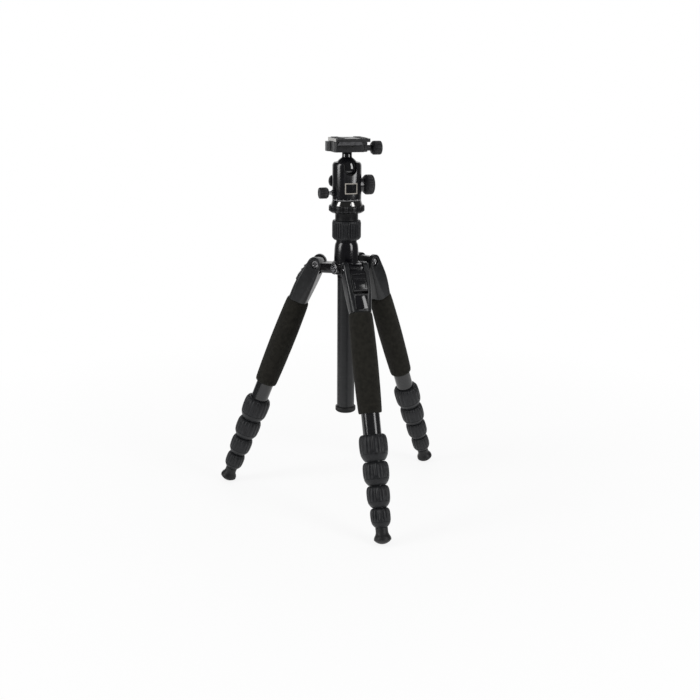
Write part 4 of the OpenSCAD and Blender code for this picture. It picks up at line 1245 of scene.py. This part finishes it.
@dataclass
class Column:
    """The twist collar, the column tube with its cap and hook, the neck and the toothed ring.

    Args:
        collar_z: Height of the collar's foot.
        collar_r: Radius of the collar.
        end_z: Height of the tube's lower end.
        ring_z: Height of the toothed ring's underside.
    """

    shop: Shop
    collar_z: float = 333.639
    collar_h: float = 23.5
    collar_r: float = 17.7
    end_z: float = 119.216
    cap_z: float = 112.216
    tube_r: float = 11.0
    platform_z: float = 357.439
    ring_z: float = 366.639
    base_z: float = 375.739

    def build(self) -> None:
        """Builds the column from the collar to the polished bevel."""
        self._collar()
        self._tube()
        self._cap()
        self._hook()
        self._platform()
        self._bevel()

    def _collar(self) -> None:
        """Turns the ribbed collar."""
        r, high = self.collar_r, self.collar_h
        top = [(r * 0.985, high * 0.9), (r * 0.975, high - 0.9), (r * 0.955, high - 0.3), (r * 0.93, high)]
        ribs = even(high * 0.14, high * 0.86, 8)
        outline = [
            (12.85, 14.4), (12.85, 0.3), (13.15, 0.0), (r * 0.86, 0.0), (r * 0.89, 0.3), (r * 0.96, high * 0.07),
            (r * 0.985, high * 0.11), *[(r, z) for z in ribs], *top,
            (11.6, high), (11.3, high - 0.3), (11.3, 14.4),
        ]
        collar = Workbench.turned("collar", outline, segments=36 * 6)
        depth = 0.85
        levels = [(high * 0.11, depth * 0.3), *[(z, depth) for z in ribs], (high * 0.9, depth * 0.35)]
        Workbench.grooved(collar, 36, levels, (1.0, 0.6, 0.0), r * 0.9)
        Workbench.shaded(collar, 40.0)
        collar.name = "ribbed_collar"
        self.shop.seat(collar, Matrix.Translation((0, 0, self.collar_z)))
        self.shop.fit(collar, "collar", "grip_rubber", [Finishes.RUBBER], ["column_collar"])

    def _tube(self) -> None:
        """Turns the column tube."""
        r, low, high = self.tube_r, self.end_z, self.ring_z - 0.03
        tube = Workbench.turned("column_sleeve", [(r - 1.5, low), (r - 1.5, high), (r - 0.2, high), (r, high - 0.2),
                                                  (r, low + 0.2), (r - 0.2, low)], segments=112)
        Workbench.shaded(tube, 30.0)
        self.shop.seat(tube, Matrix.Identity(4))
        self.shop.fit(tube, "column", "grey_anodised_tube", [Finishes.COLUMN], ["column_tube"])

    def _cap(self) -> None:
        """Turns the rubber cap, with the slot that the hook lies in."""
        z, r = self.cap_z, 12.9
        outline = [(0.4, z), (r - 2.2, z), (r - 1.5, z + 0.25), (r - 0.25, z + 1.5), (r, z + 2.1), (r, z + 2.5),
                   (r - 0.35, z + 2.7), (r - 0.35, z + 3.1), (r, z + 3.3), (r, z + 6.1), (r - 0.15, z + 6.6),
                   (r - 0.6, z + 6.95), (9.4, z + 6.95), (9.4, z + 8.3), (0.4, z + 8.3)]
        cap = Workbench.turned("cap", outline, segments=112, closed=False)
        slot = Workbench.block("slot", (-30.0, -1.3, z - 5), (4.2, 1.3, z + 4.2))
        Workbench.cut(cap, slot)
        pin = Workbench.rod("pin", 0.9, (0, -2.2, z + 1.575), (0, 2.2, z + 1.575), 32)
        cap = Workbench.gather(cap, pin)
        Workbench.shaded(cap, 30.0)
        cap.name = "end_cap"
        self.shop.seat(cap, Matrix.Identity(4))
        self.shop.fit(cap, "column", "foot_rubber", [Finishes.FOOT], ["column_cap"])

    def _hook(self) -> None:
        """Bends the wire hook: an eye, a straight run and a tip that turns up beside the cap."""
        wire, reach, bend = 1.0, 15.6, 15.6 * 0.26
        Workbench.clear()
        bpy.ops.mesh.primitive_circle_add(vertices=28, radius=wire, location=(-1.2, 0, 0), rotation=(0, math.radians(90), 0))
        hook = Workbench.started("hook")
        bpy.ops.object.mode_set(mode="EDIT")
        bpy.ops.mesh.select_all(action="SELECT")
        bpy.ops.mesh.extrude_region_move(TRANSFORM_OT_translate={"value": (bend + wire - reach + 1.2, 0, 0)})
        bpy.ops.mesh.spin(steps=12, angle=math.radians(90), center=(bend + wire - reach, 0, bend), axis=(0, 1, 0))
        bpy.ops.mesh.extrude_region_move(TRANSFORM_OT_translate={"value": (0, 0, 0.5)})
        bpy.ops.transform.resize(value=(0.8, 0.8, 1.0), center_override=(wire - reach, 0, bend + 0.5))
        bpy.ops.mesh.select_all(action="SELECT")
        bpy.ops.mesh.fill_holes(sides=0)
        bpy.ops.mesh.select_all(action="SELECT")
        bpy.ops.mesh.normals_make_consistent(inside=False)
        bpy.ops.object.mode_set(mode="OBJECT")
        eye = Workbench.turned("eye", rounded([(0.95, -1.0), (1.45, -1.0), (1.45, 1.0), (0.95, 1.0)], 0.25), 40)
        eye.data.transform(Matrix.Rotation(math.radians(90), 4, "X"))
        Workbench.fuse(hook, eye)
        Workbench.cut(hook, Workbench.rod("bore", 0.95, (0, -5, 0), (0, 5, 0), 40))
        Workbench.shaded(hook, 40.0)
        hook.name = "wire_hook"
        self.shop.seat(hook, Matrix.Translation((0, 0, self.cap_z + 7.0 * 0.225)))
        self.shop.fit(hook, "hook", "steel", [Finishes.WIRE], ["weight_hook"])

    def _platform(self) -> None:
        """Turns the neck and the toothed ring above it."""
        low, ring, top, r = self.platform_z, self.ring_z, self.base_z, 21.95
        teeth = [(r, ring + 2.6), (r, ring + 4.4), (r, ring + 6.2), (r, ring + 7.3)]
        outline = [
            (11.03, low), (13.7, low), (14.1, low + 0.4), (14.1, ring - 1.0), (14.3, ring - 0.35), (14.9, ring),
            (18.2, ring), (18.6, ring + 0.12), (21.0, ring + 1.75), *teeth, (r - 0.3, ring + 8.2), (r - 0.9, top - 0.1),
            (r - 1.3, top), (5.0, top), (5.0, top - 9.08), (11.03, top - 9.08),
        ]
        ring_piece = Workbench.turned("platform", outline, segments=20 * 10)
        levels = [(ring + 1.75, 0.9), *[(z, 1.35) for _, z in teeth], (ring + 8.2, 1.2), (top - 0.1, 0.8)]
        Workbench.grooved(ring_piece, 20, levels, (1.0, 0.94, 0.5), r - 2.0)
        stud = Workbench.rod("stud", 4.7, (0, 0, top - 9.0), (0, 0, top + 8.8), 48)
        Workbench.edged(stud, 0.4, 2)
        ring_piece = Workbench.gather(ring_piece, stud)
        Workbench.shaded(ring_piece, 34.0)
        ring_piece.name = "toothed_platform"
        self.shop.seat(ring_piece, Matrix.Identity(4))
        self.shop.fit(ring_piece, "column", "gloss_black_metal", [Finishes.CLAMP], ["column_platform"])

    def _bevel(self) -> None:
        """Turns the polished bevel of the pan base, with its index mark."""
        low, high = self.base_z, self.base_z + 5.5
        outline = [(4.8, low), (19.1, low), (19.4, low + 0.2), (17.85, high - 0.25), (17.65, high), (8.0, high),
                   (8.0, high + 10.5), (4.8, high + 10.5)]
        bevel = Workbench.turned("bevel", outline, segments=144)
        Workbench.shaded(bevel, 25.0)
        bevel.name = "pan_bevel"
        self.shop.seat(bevel, Matrix.Identity(4))
        self.shop.fit(bevel, "column", "polished_bevel", [Finishes.BEVEL], ["pan_base"])
        mark = Workbench.block("mark", (-1.0, -0.2, 0.0), (1.0, 0.06, 1.9), cuts=(
            ((1.0, 0, 0), (0.885, 0, 0.466)), ((-1.0, 0, 0), (-0.885, 0, 0.466))))
        mark.name = "index_mark"
        lean = math.atan2(19.5 - 17.7, 5.5)
        place = (Matrix.Rotation(math.radians(0.0), 4, "Z") @ Matrix.Translation((0, -18.94, low + 1.7))
                 @ Matrix.Rotation(-lean, 4, "X"))
        self.shop.seat(mark, place)
        self.shop.fit(mark, "column", "polished_bevel", [Finishes.PRINT])


@dataclass
class BallHead:
    """The housing with its badge frame and scale, the ball and the three knobs of the head.

    Args:
        foot_z: Height of the housing's foot.
        high: Height of the housing.
        radius: Radius of the housing.
        ball_z: Height of the ball's centre.
        ball_r: Radius of the ball.
    """

    shop: Shop
    foot_z: float = 381.539
    high: float = 45.9
    radius: float = 17.7
    ball_z: float = 420.239
    ball_r: float = 14.0
    stem_r: float = 6.0
    clamp_z: float = 439.939
    notch_w: float = 16.0
    lock_z: float = 399.739
    pan_z: float = 390.719
    friction_z: float = 403.566

    def build(self) -> None:
        """Builds the head."""
        self._housing()
        self._badge()
        self._scale()
        self._ball()
        self._knobs()
        self.shop.dress_solid("ball_seat", Finishes.SEAT)

    def _housing(self) -> None:
        """Turns the housing and cuts the ball's chamber, the notch and the bores."""
        z, r, high = self.foot_z, self.radius, self.high
        outline = [(0.4, z), *rounded([(r - 0.3, z), (r, z + 0.3), (r, z + high - 3.3), (r - 1.1, z + high - 0.9),
                                       (r - 2.4, z + high)], 1.2, 4), (r - 4.0, z + high), (0.4, z + high)]
        body = Workbench.turned("housing", outline, segments=144, closed=False)
        chamber = Workbench.ball("chamber", 14.3, (0, 0, self.ball_z))
        mouth = Workbench.turned("mouth", [(0.4, self.ball_z + 2), (12.36, self.ball_z + 2), (12.36, z + high - 0.5),
                                           (13.0, z + high + 0.2), (13.0, z + high + 5), (0.4, z + high + 5)],
                                 144, closed=False)
        notch = Workbench.block("notch", (-self.notch_w / 2, -40, self.ball_z), (self.notch_w / 2, 0, z + high + 9))
        trough = Workbench.rod("trough", self.notch_w / 2, (0, -40, self.ball_z), (0, 0, self.ball_z), 80)
        Workbench.cut(body, chamber, mouth, notch, trough)
        Workbench.cut(body, Workbench.rod("post", 8.05, (0, 0, z - 5), (0, 0, z + 10.6), 72))
        boss = Workbench.turned("boss", [(3.2, 13.6), (8.7, 13.6), (8.7, 19.3), (8.35, 19.9), (7.8, 20.05),
                                         (3.2, 20.05)], 80)
        boss.data.transform(Matrix.Translation((0, 0, self.lock_z)) @ Matrix.Rotation(math.radians(90), 4, "Y"))
        bush = Workbench.turned("bush", [(2.25, 13.0), (3.67, 13.0), (3.67, 18.8), (3.4, 19.1), (2.25, 19.1)], 48)
        bush.data.transform(Matrix.Translation((0, 0, self.pan_z)) @ Matrix.Rotation(math.radians(-90), 4, "Y"))
        Workbench.fuse(body, boss, bush)
        Workbench.cut(body, Workbench.rod("bore", 3.2, (9.8, 0, self.lock_z), (40, 0, self.lock_z), 48))
        Workbench.cut(body, Workbench.rod("bore", 2.21, (-8.0, 0, self.pan_z), (-40, 0, self.pan_z), 48))
        turn = math.radians(130.0)
        way = (math.cos(turn), math.sin(turn))
        Workbench.cut(body, Workbench.rod("bore", 2.01, (10.7 * way[0], 10.7 * way[1], self.friction_z),
                                          (40 * way[0], 40 * way[1], self.friction_z), 48))
        Workbench.edged(body, 0.35, 2, 40.0)
        Workbench.shaded(body, 32.0)
        body.name = "head_housing"
        self.shop.seat(body, Matrix.Identity(4))
        self.shop.fit(body, "head", "gloss_black_metal", [Finishes.GLOSS], ["ball_housing"])

    def _curved(self, name: str, angles: tuple[float, float], heights: tuple[float, float], proud: float,
                sunk: float = 0.25) -> bpy.types.Object:
        """A thin plate that follows the housing.

        Args:
            name: Name of the piece.
            angles: Its two ends about the column, in degrees.
            heights: Its lower and upper edge.
            proud: How far it stands out of the housing.
            sunk: How far it reaches into the housing.

        Returns:
            The plate.
        """
        Workbench.clear()
        steps = max(2, round(abs(angles[1] - angles[0]) / 2.0))
        r0, r1 = self.radius - sunk, self.radius + proud
        middle = (r0 + r1) / 2
        start = math.radians(angles[0])
        bpy.ops.mesh.primitive_plane_add(size=1.0)
        plate = Workbench.started(name)
        plate.data.transform(Matrix.Rotation(start, 4, "Z") @ Matrix.Translation((middle, 0, sum(heights) / 2))
                             @ Matrix.Rotation(math.radians(90), 4, "X")
                             @ Matrix.Diagonal((r1 - r0, heights[1] - heights[0], 1.0, 1.0)))
        bpy.ops.object.mode_set(mode="EDIT")
        bpy.ops.mesh.select_all(action="SELECT")
        bpy.ops.mesh.spin(steps=steps, angle=math.radians(angles[1] - angles[0]), center=(0, 0, 0), axis=(0, 0, -1))
        bpy.ops.mesh.select_all(action="SELECT")
        bpy.ops.mesh.remove_doubles(threshold=0.0005)
        bpy.ops.mesh.normals_make_consistent(inside=False)
        bpy.ops.object.mode_set(mode="OBJECT")
        return plate

    def _badge(self) -> None:
        """Builds the bare badge plate on the front: a silver frame round a glossy field."""
        middle, half_turn, low, high, bar = 273.0, 25.9, 390.4, 403.5, 1.3
        field_piece = self._curved("badge_field", (middle - half_turn, middle + half_turn), (low, high), 0.1)
        Workbench.shaded(field_piece, 40.0)
        self.shop.seat(field_piece, Matrix.Identity(4))
        self.shop.fit(field_piece, "head", "gloss_black_metal", [Finishes.PANEL])
        bar_turn = math.degrees(bar / self.radius)
        runs = (
            ((middle - half_turn, middle + half_turn), (low, low + bar)),
            ((middle - half_turn, middle + half_turn), (high - bar, high)),
            ((middle - half_turn, middle - half_turn + bar_turn), (low + bar, high - bar)),
            ((middle + half_turn - bar_turn, middle + half_turn), (low + bar, high - bar)),
        )
        bars = [self._curved("badge_bar", angles, heights, 0.22) for angles, heights in runs]
        border = Workbench.gather(*bars)
        border.name = "badge_border"
        Workbench.shaded(border, 40.0)
        self.shop.seat(border, Matrix.Identity(4))
        self.shop.fit(border, "head", "gloss_black_metal", [Finishes.FRAME])

    def _scale(self) -> None:
        """Builds the ticks of the pan scale round the housing's foot."""
        ticks = []
        for index in range(72):
            tall = 1.9 if index % 6 == 0 else 1.1
            middle = index * 5.0
            wide = 0.75 if index % 6 == 0 else 0.5
            ticks.append(self._curved("tick", (middle - wide, middle + wide),
                                      (self.foot_z + 0.5, self.foot_z + 0.5 + tall), 0.03, 0.1))
        scale = Workbench.gather(*ticks)
        scale.name = "pan_scale"
        self.shop.seat(scale, Matrix.Identity(4))
        self.shop.fit(scale, "head", "gloss_black_metal", [Finishes.PRINT])

    def _ball(self) -> None:
        """Turns the ball with its stem and the spindle in the clamp."""
        r = self.ball_r
        neck = math.asin((self.stem_r + 0.9) / r)
        sphere = [(r * math.sin(a), self.ball_z - r * math.cos(a)) for a in even(0.05, math.pi - neck, 40)]
        top = self.clamp_z - GAP
        edge_z = sphere[-1][1]
        outline = [*sphere, (self.stem_r + 0.42, edge_z + 0.45), (self.stem_r + 0.12, edge_z + 1.1),
                   (self.stem_r, edge_z + 2.0), (self.stem_r, top - 0.8), (self.stem_r - 0.25, top - 0.3),
                   (self.stem_r - 0.5, top), (3.2, top), (3.2, self.clamp_z + 4.35)]
        ball = Workbench.turned("ball", outline, segments=144, closed=False)
        Workbench.shaded(ball, 30.0)
        ball.name = "ball_and_stem"
        self.shop.seat(ball, Matrix.Identity(4))
        self.shop.fit(ball, "ball", "gloss_black_metal", [Finishes.BALL], ["ball_stem"])

    def _knobs(self) -> None:
        """Models the lock, pan and friction knobs and sets them on the housing."""
        plans = (
            (GroovedKnob("lock_grip", 12.1, 12.6, 30, 0.6, ((3.14, 9.74),)), "ball_lock_knob", 0.0, self.lock_z, 20.37, 0.0),
            (GroovedKnob("pan_grip", 6.75, 11.4, 22, 0.42, ((2.16, 15.16),)), "pan_knob", 180.0, self.pan_z, 23.47, 20.6),
            (GroovedKnob("friction_grip", 7.0, 4.95, 22, 0.4, ((1.96, 6.49),)), "friction_knob", 130.0,
             self.friction_z, 18.0, 0.0),
        )
        for plan, body, azimuth, height, start, bright in plans:
            knob = plan.made()
            if bright:
                set_faces(knob, 1, lambda middle, _: middle.z < -0.001 and math.hypot(middle.x, middle.y) < 2.3)
            place = (Matrix.Rotation(math.radians(azimuth), 4, "Z") @ Matrix.Translation((start, 0, height))
                     @ Matrix.Rotation(math.radians(90), 4, "Y"))
            self.shop.seat(knob, place)
            finishes = [Finishes.KNOB, Finishes.STEEL] if bright else [Finishes.KNOB]
            self.shop.fit(knob, body, "grip_rubber", finishes, [body])


@dataclass
class ClampAndPlate:
    """The dovetail clamp, its jaw and knob, the camera plate with its pads, and the screw.

    Args:
        low: Height of the clamp's underside.
        half_w: Half of the clamp's width.
        half_l: Half of its length.
    """

    shop: Shop
    low: float = 439.939
    floor: float = 447.939
    jaw_top: float = 451.539
    half_w: float = 21.9
    half_l: float = 18.0
    apron: float = 4.2
    slab_low: float = 451.839
    slab_top: float = 455.939
    shift: float = 3.63
    plate_half: float = 21.35
    plate_long: float = 19.8
    pad_t: float = 0.7
    knob_z: float = 443.779
    offset: float = -1.183
    step: float = 2.89
    step_y: float = 2.99

    def build(self) -> None:
        """Builds the clamp and all that it carries."""
        self._body()
        self._jaw()
        self._knob()
        self._plate()
        self._pads()
        self.shop.dress_solid("camera_screw", Finishes.STEEL)

    def _body(self) -> None:
        """Builds the clamp's body with its fixed jaw, whose front half is stepped in."""
        w, long, corner = self.half_w, self.half_l, 2.41
        right = w - self.apron - GAP
        facets = (((self.step + corner - w, -long, 0), (-0.7071, -0.7071, 0)),
                  ((corner - w, long, 0), (-0.7071, 0.7071, 0)))
        body = Workbench.block("clamp", (-w, -long, self.low), (right, long, self.floor), cuts=facets)
        jaw = Workbench.block("jaw", (-w, -long, self.floor - 1.0), (-13.9, long, self.jaw_top), cuts=(
            *facets, ((-16.3, 0, self.floor), (0.857, 0, -0.514)),
        ))
        Workbench.fuse(body, jaw)
        step = Workbench.block("step", (-w - 5, -long - 5, self.low - 5), (self.step - w, 15.0, self.jaw_top + 5), cuts=(
            ((self.step - w, self.step_y, 0), (0.7071, 0.7071, 0)),
        ))
        Workbench.cut(body, step)
        Workbench.cut(body, Workbench.rod("spindle", 3.29, (-self.offset, 0, self.low - 5), (-self.offset, 0, self.low + 4.75), 48))
        Workbench.cut(body, Workbench.rod("screw", 2.6, (6.57, 0, self.knob_z), (40, 0, self.knob_z), 48))
        Workbench.cut(body, Workbench.rod("set_screw", 0.85, (2.5, -long - 5, 446.6), (2.5, 0.8 - long, 446.6), 24))
        for side in (-1, 1):
            Workbench.cut(body, Workbench.rod("guide", 1.25, (6.0, side * 13.0, self.low - 5),
                                              (6.0, side * 13.0, self.low + 2.0), 32))
        Workbench.edged(body, 0.45, 2, 28.0)
        Workbench.shaded(body, 35.0)
        Workbench.flat_shaded_sides(body)
        body.name = "clamp_block"
        self.shop.seat(body, Matrix.Translation((self.offset, 0, 0)))
        self.shop.fit(body, "clamp", "gloss_black_metal", [Finishes.CLAMP], ["clamp_body"])

    def _jaw(self) -> None:
        """Builds the movable jaw."""
        w, long, corner = self.half_w, self.half_l, 1.92
        trims = (((w - corner, -long, 0), (0.7071, -0.7071, 0)), ((w - corner, long, 0), (0.7071, 0.7071, 0)))
        jaw = Workbench.block("jaw", (w - self.apron, -long, self.low + GAP), (w, long, self.jaw_top), cuts=trims)
        lip = Workbench.block("lip", (13.9, -long, self.floor + GAP), (w - 0.5, long, self.jaw_top), cuts=(
            *trims, ((16.3, 0, self.floor + GAP), (-0.837, 0, -0.548)),
        ))
        Workbench.fuse(jaw, lip)
        Workbench.cut(jaw, Workbench.rod("bore", 2.6, (10, 0, self.knob_z), (30, 0, self.knob_z), 48))
        Workbench.edged(jaw, 0.4, 2, 28.0)
        Workbench.shaded(jaw, 35.0)
        Workbench.flat_shaded_sides(jaw)
        jaw.name = "sliding_jaw"
        self.shop.seat(jaw, Matrix.Translation((self.offset, 0, 0)))
        self.shop.fit(jaw, "jaw", "gloss_black_metal", [Finishes.CLAMP], ["clamp_jaw"])

    def _knob(self) -> None:
        """Builds the clamp knob with its sleeve and screw."""
        knob = GroovedKnob("clamp_grip", 8.35, 12.3, 28, 0.5, ((2.53, 12.56), (3.5, 9.38))).made()
        place = Matrix.Translation((31.58 + self.offset, 0, self.knob_z)) @ Matrix.Rotation(math.radians(90), 4, "Y")
        self.shop.seat(knob, place)
        self.shop.fit(knob, "clamp_knob", "grip_rubber", [Finishes.KNOB], ["clamp_knob"])

    def _plate(self) -> None:
        """Builds the camera plate: a chamfered slab on a dovetail foot."""
        h, c, x0, x1 = self.plate_long, 1.49, self.shift - self.plate_half, self.shift + self.plate_half
        corners = tuple(((self.shift + sx * (self.plate_half - c), sy * h, 0), (0.7071 * sx, 0.7071 * sy, 0))
                        for sx in (-1, 1) for sy in (-1, 1))
        slab = Workbench.block("slab", (x0, -h, self.slab_low), (x1, h, self.slab_top), cuts=corners)
        Workbench.edged(slab, 0.4, 2)
        foot = Workbench.block("foot", (-16.0, -h, self.floor + GAP), (16.0, h, self.slab_low + 0.2), cuts=(
            ((-16.0, 0, self.floor + GAP), (-0.857, 0, 0.514)), ((16.0, 0, self.floor + GAP), (0.857, 0, 0.514)),
        ))
        Workbench.fuse(slab, foot)
        Workbench.cut(slab, Workbench.rod("well", 6.52, (0, 0, self.floor - 5), (0, 0, self.slab_top - 1.804), 72))
        Workbench.cut(slab, Workbench.rod("hole", 3.475, (0, 0, self.floor - 5), (0, 0, self.slab_top + 5), 64))
        ring = Workbench.turned("ring", [(3.0, self.slab_top - 0.4), (3.0, self.slab_top + 2), (4.6, self.slab_top + 2),
                                         (4.0, self.slab_top - 0.4)], 64)
        Workbench.cut(slab, ring)
        Workbench.shaded(slab, 35.0)
        Workbench.flat_shaded_sides(slab)
        slab.name = "dovetail_plate"
        set_faces(slab, 1, lambda middle, normal: abs(normal.x) > 0.9 and middle.z > self.slab_low + 0.3)
        self.shop.seat(slab, Matrix.Translation((self.offset, 0, 0)))
        self.shop.fit(slab, "plate", "gloss_black_metal", [Finishes.CLAMP, Finishes.TRIM], ["camera_plate"])

    def _pads(self) -> None:
        """Builds the two ribbed rubber pads."""
        pads = []
        for side in (-1, 1):
            middle = self.shift + side * 14.09
            pad = Workbench.block("pad", (middle - 4.27, -16.63, self.slab_top),
                                  (middle + 4.27, 16.63, self.slab_top + self.pad_t))
            Workbench.edged(pad, 0.3, 2)
            for index in range(12):
                y = -14.3 + index * 2.6
                groove = Workbench.block("groove", (middle - 9, y - 0.45, self.slab_top + 0.45), (middle + 9, y + 0.45, 470))
                Workbench.cut(pad, groove)
            pads.append(pad)
        joined = Workbench.gather(*pads)
        Workbench.shaded(joined, 30.0)
        joined.name = "rubber_pads"
        self.shop.seat(joined, Matrix.Translation((self.offset, 0, 0)))
        self.shop.fit(joined, "plate", "grip_rubber", [Finishes.PAD], ["plate_pads"])


@dataclass(frozen=True)
class SoftBox:
    """A rectangular lamp that faces the tripod.

    Args:
        azimuth: Its direction from the column, in degrees.
        distance: Its distance in metres.
        height: Height of its middle.
        width: Its width.
        tall: Its height from edge to edge.
        radiance: Brightness of its face.
    """

    azimuth: float
    distance: float
    height: float
    width: float
    tall: float
    radiance: float

    def lit(self, name: str) -> None:
        """Adds the lamp to the scene under a name."""
        lamp = bpy.data.lights.new(name, "AREA")
        lamp.shape = "RECTANGLE"
        lamp.size, lamp.size_y = self.width, self.tall
        lamp.energy = self.radiance * math.pi * self.width * self.tall
        turn = math.radians(self.azimuth)
        place = Vector((math.cos(turn) * self.distance, math.sin(turn) * self.distance, self.height))
        stand = bpy.data.objects.new(name, lamp)
        aim = Vector((0.0, 0.0, self.height if self.height < 1.5 else 0.3)) - place
        stand.matrix_world = Matrix.Translation(place) @ aim.to_track_quat("-Z", "Y").to_matrix().to_4x4()
        bpy.context.scene.collection.objects.link(stand)


class Studio:
    """The white room: floor, backdrop, lamps and the camera of the photograph."""

    CAMERA_PLACE = (-0.3456, -1.2133, 0.5318)
    HEADING = 73.86
    PITCH = -15.05
    ROLL = 0.41
    LENS = 53.13
    ROOM = 0.09
    FLOOR_R = 0.85
    BOXES = (
        SoftBox(187.0, 1.7, 1.12, 0.62, 1.7, 6.0),
        SoftBox(306.0, 1.7, 1.12, 0.55, 1.7, 6.0),
        SoftBox(74.0, 1.8, 1.7, 0.9, 0.5, 3.0),
    )

    def build(self) -> None:
        """Builds the room, the lamps and the camera."""
        bpy.context.scene.view_settings.view_transform = "Standard"
        self._camera()
        self._world()
        self._floor()
        for index, box in enumerate(self.BOXES):
            box.lit(f"soft_box_{index + 1}")

    def _camera(self) -> None:
        """Sets the camera where the photograph was taken from."""
        heading, pitch, roll = (math.radians(v) for v in (self.HEADING, self.PITCH, self.ROLL))
        ahead = Vector((math.cos(heading) * math.cos(pitch), math.sin(heading) * math.cos(pitch), math.sin(pitch)))
        right = Vector((math.sin(heading), -math.cos(heading), 0.0))
        up = right.cross(ahead)
        across = right * math.cos(roll) + up * math.sin(roll)
        upward = up * math.cos(roll) - right * math.sin(roll)
        lens = bpy.data.cameras.new("photo_camera")
        lens.sensor_width = 36.0
        lens.lens = self.LENS
        lens.clip_start = 0.01
        stand = bpy.data.objects.new("photo_camera", lens)
        turn = Matrix((across, upward, -ahead)).transposed().to_4x4()
        stand.matrix_world = Matrix.Translation(self.CAMERA_PLACE) @ turn
        bpy.context.scene.collection.objects.link(stand)
        bpy.context.scene.camera = stand

    @staticmethod
    def _seen_directly(tree: bpy.types.NodeTree) -> bpy.types.NodeSocket:
        """A mask of rays that show the room itself: camera, glossy and transmission rays."""
        rays = tree.nodes.new("ShaderNodeLightPath")
        first = tree.nodes.new("ShaderNodeMath")
        first.operation = "MAXIMUM"
        second = tree.nodes.new("ShaderNodeMath")
        second.operation = "MAXIMUM"
        tree.links.new(rays.outputs["Is Camera Ray"], first.inputs[0])
        tree.links.new(rays.outputs["Is Glossy Ray"], first.inputs[1])
        tree.links.new(first.outputs["Value"], second.inputs[0])
        tree.links.new(rays.outputs["Is Transmission Ray"], second.inputs[1])
        return second.outputs["Value"]

    @classmethod
    def _backdrop(cls, tree: bpy.types.NodeTree) -> bpy.types.NodeSocket:
        """Strength of the room: white to the camera, and to other rays white behind and dark in front."""
        way = tree.nodes.new("ShaderNodeTexCoord")
        behind = math.radians(cls.HEADING)
        towards = tree.nodes.new("ShaderNodeVectorMath")
        towards.operation = "DOT_PRODUCT"
        towards.inputs[1].default_value = (math.cos(behind), math.sin(behind), 0.0)
        tree.links.new(way.outputs["Generated"], towards.inputs[0])
        spread = tree.nodes.new("ShaderNodeMapRange")
        spread.interpolation_type = "SMOOTHSTEP"
        spread.inputs["From Min"].default_value = 0.55
        spread.inputs["From Max"].default_value = 0.95
        spread.inputs["To Min"].default_value = cls.ROOM
        tree.links.new(towards.outputs["Value"], spread.inputs["Value"])
        rays = tree.nodes.new("ShaderNodeLightPath")
        either = tree.nodes.new("ShaderNodeMath")
        either.operation = "MAXIMUM"
        tree.links.new(spread.outputs["Result"], either.inputs[0])
        tree.links.new(rays.outputs["Is Camera Ray"], either.inputs[1])
        return either.outputs["Value"]

    def _world(self) -> None:
        """A white surround that lights the tripod at a plain level."""
        world = bpy.data.worlds.new("white_room")
        world.use_nodes = True
        tree = world.node_tree
        tree.nodes.clear()
        seen = tree.nodes.new("ShaderNodeBackground")
        seen.inputs["Color"].default_value = (1.0, 1.0, 1.0, 1.0)
        tree.links.new(self._backdrop(tree), seen.inputs["Strength"])
        soft = tree.nodes.new("ShaderNodeBackground")
        soft.inputs["Color"].default_value = (1.0, 1.0, 1.0, 1.0)
        soft.inputs["Strength"].default_value = 0.5
        mix = tree.nodes.new("ShaderNodeMixShader")
        out = tree.nodes.new("ShaderNodeOutputWorld")
        tree.links.new(self._seen_directly(tree), mix.inputs["Fac"])
        tree.links.new(soft.outputs["Background"], mix.inputs[1])
        tree.links.new(seen.outputs["Background"], mix.inputs[2])
        tree.links.new(mix.outputs["Shader"], out.inputs["Surface"])
        bpy.context.scene.world = world

    def _floor(self) -> None:
        """A pale floor that runs into the white and keeps a faint shadow."""
        Workbench.clear()
        bpy.ops.mesh.primitive_circle_add(vertices=96, radius=self.FLOOR_R, fill_type="NGON", location=(0.0, 0.0, -0.0005))
        floor = bpy.context.active_object
        floor.name = "studio_floor"
        material = bpy.data.materials.new("white_floor")
        material.use_nodes = True
        tree = material.node_tree
        tree.nodes.clear()
        matt = tree.nodes.new("ShaderNodeBsdfDiffuse")
        matt.inputs["Color"].default_value = (0.9, 0.9, 0.9, 1.0)
        glow = tree.nodes.new("ShaderNodeEmission")
        glow.inputs["Strength"].default_value = 1.0
        place = tree.nodes.new("ShaderNodeTexCoord")
        reach = tree.nodes.new("ShaderNodeVectorMath")
        reach.operation = "LENGTH"
        tree.links.new(place.outputs["Object"], reach.inputs[0])
        fade = tree.nodes.new("ShaderNodeMapRange")
        fade.inputs["From Min"].default_value = self.FLOOR_R * 0.3
        fade.inputs["From Max"].default_value = self.FLOOR_R * 0.96
        fade.inputs["To Min"].default_value = 0.86
        tree.links.new(reach.outputs["Value"], fade.inputs["Value"])
        share = tree.nodes.new("ShaderNodeMath")
        share.operation = "MULTIPLY"
        tree.links.new(self._seen_directly(tree), share.inputs[0])
        tree.links.new(fade.outputs["Result"], share.inputs[1])
        mix = tree.nodes.new("ShaderNodeMixShader")
        out = tree.nodes.new("ShaderNodeOutputMaterial")
        tree.links.new(share.outputs["Value"], mix.inputs["Fac"])
        tree.links.new(matt.outputs["BSDF"], mix.inputs[1])
        tree.links.new(glow.outputs["Emission"], mix.inputs[2])
        tree.links.new(mix.outputs["Shader"], out.inputs["Surface"])
        floor.data.materials.append(material)


def main() -> None:
    """Builds the studio and the tripod."""
    logging.basicConfig(level=logging.INFO, format="%(name)s %(message)s")
    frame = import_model()
    shop = Shop(frame)
    Studio().build()
    LegSet(shop).build()
    Spider(shop).build()
    Column(shop).build()
    BallHead(shop).build()
    ClampAndPlate(shop).build()
    Workbench.clear()


if __name__ == "__main__":
    main()
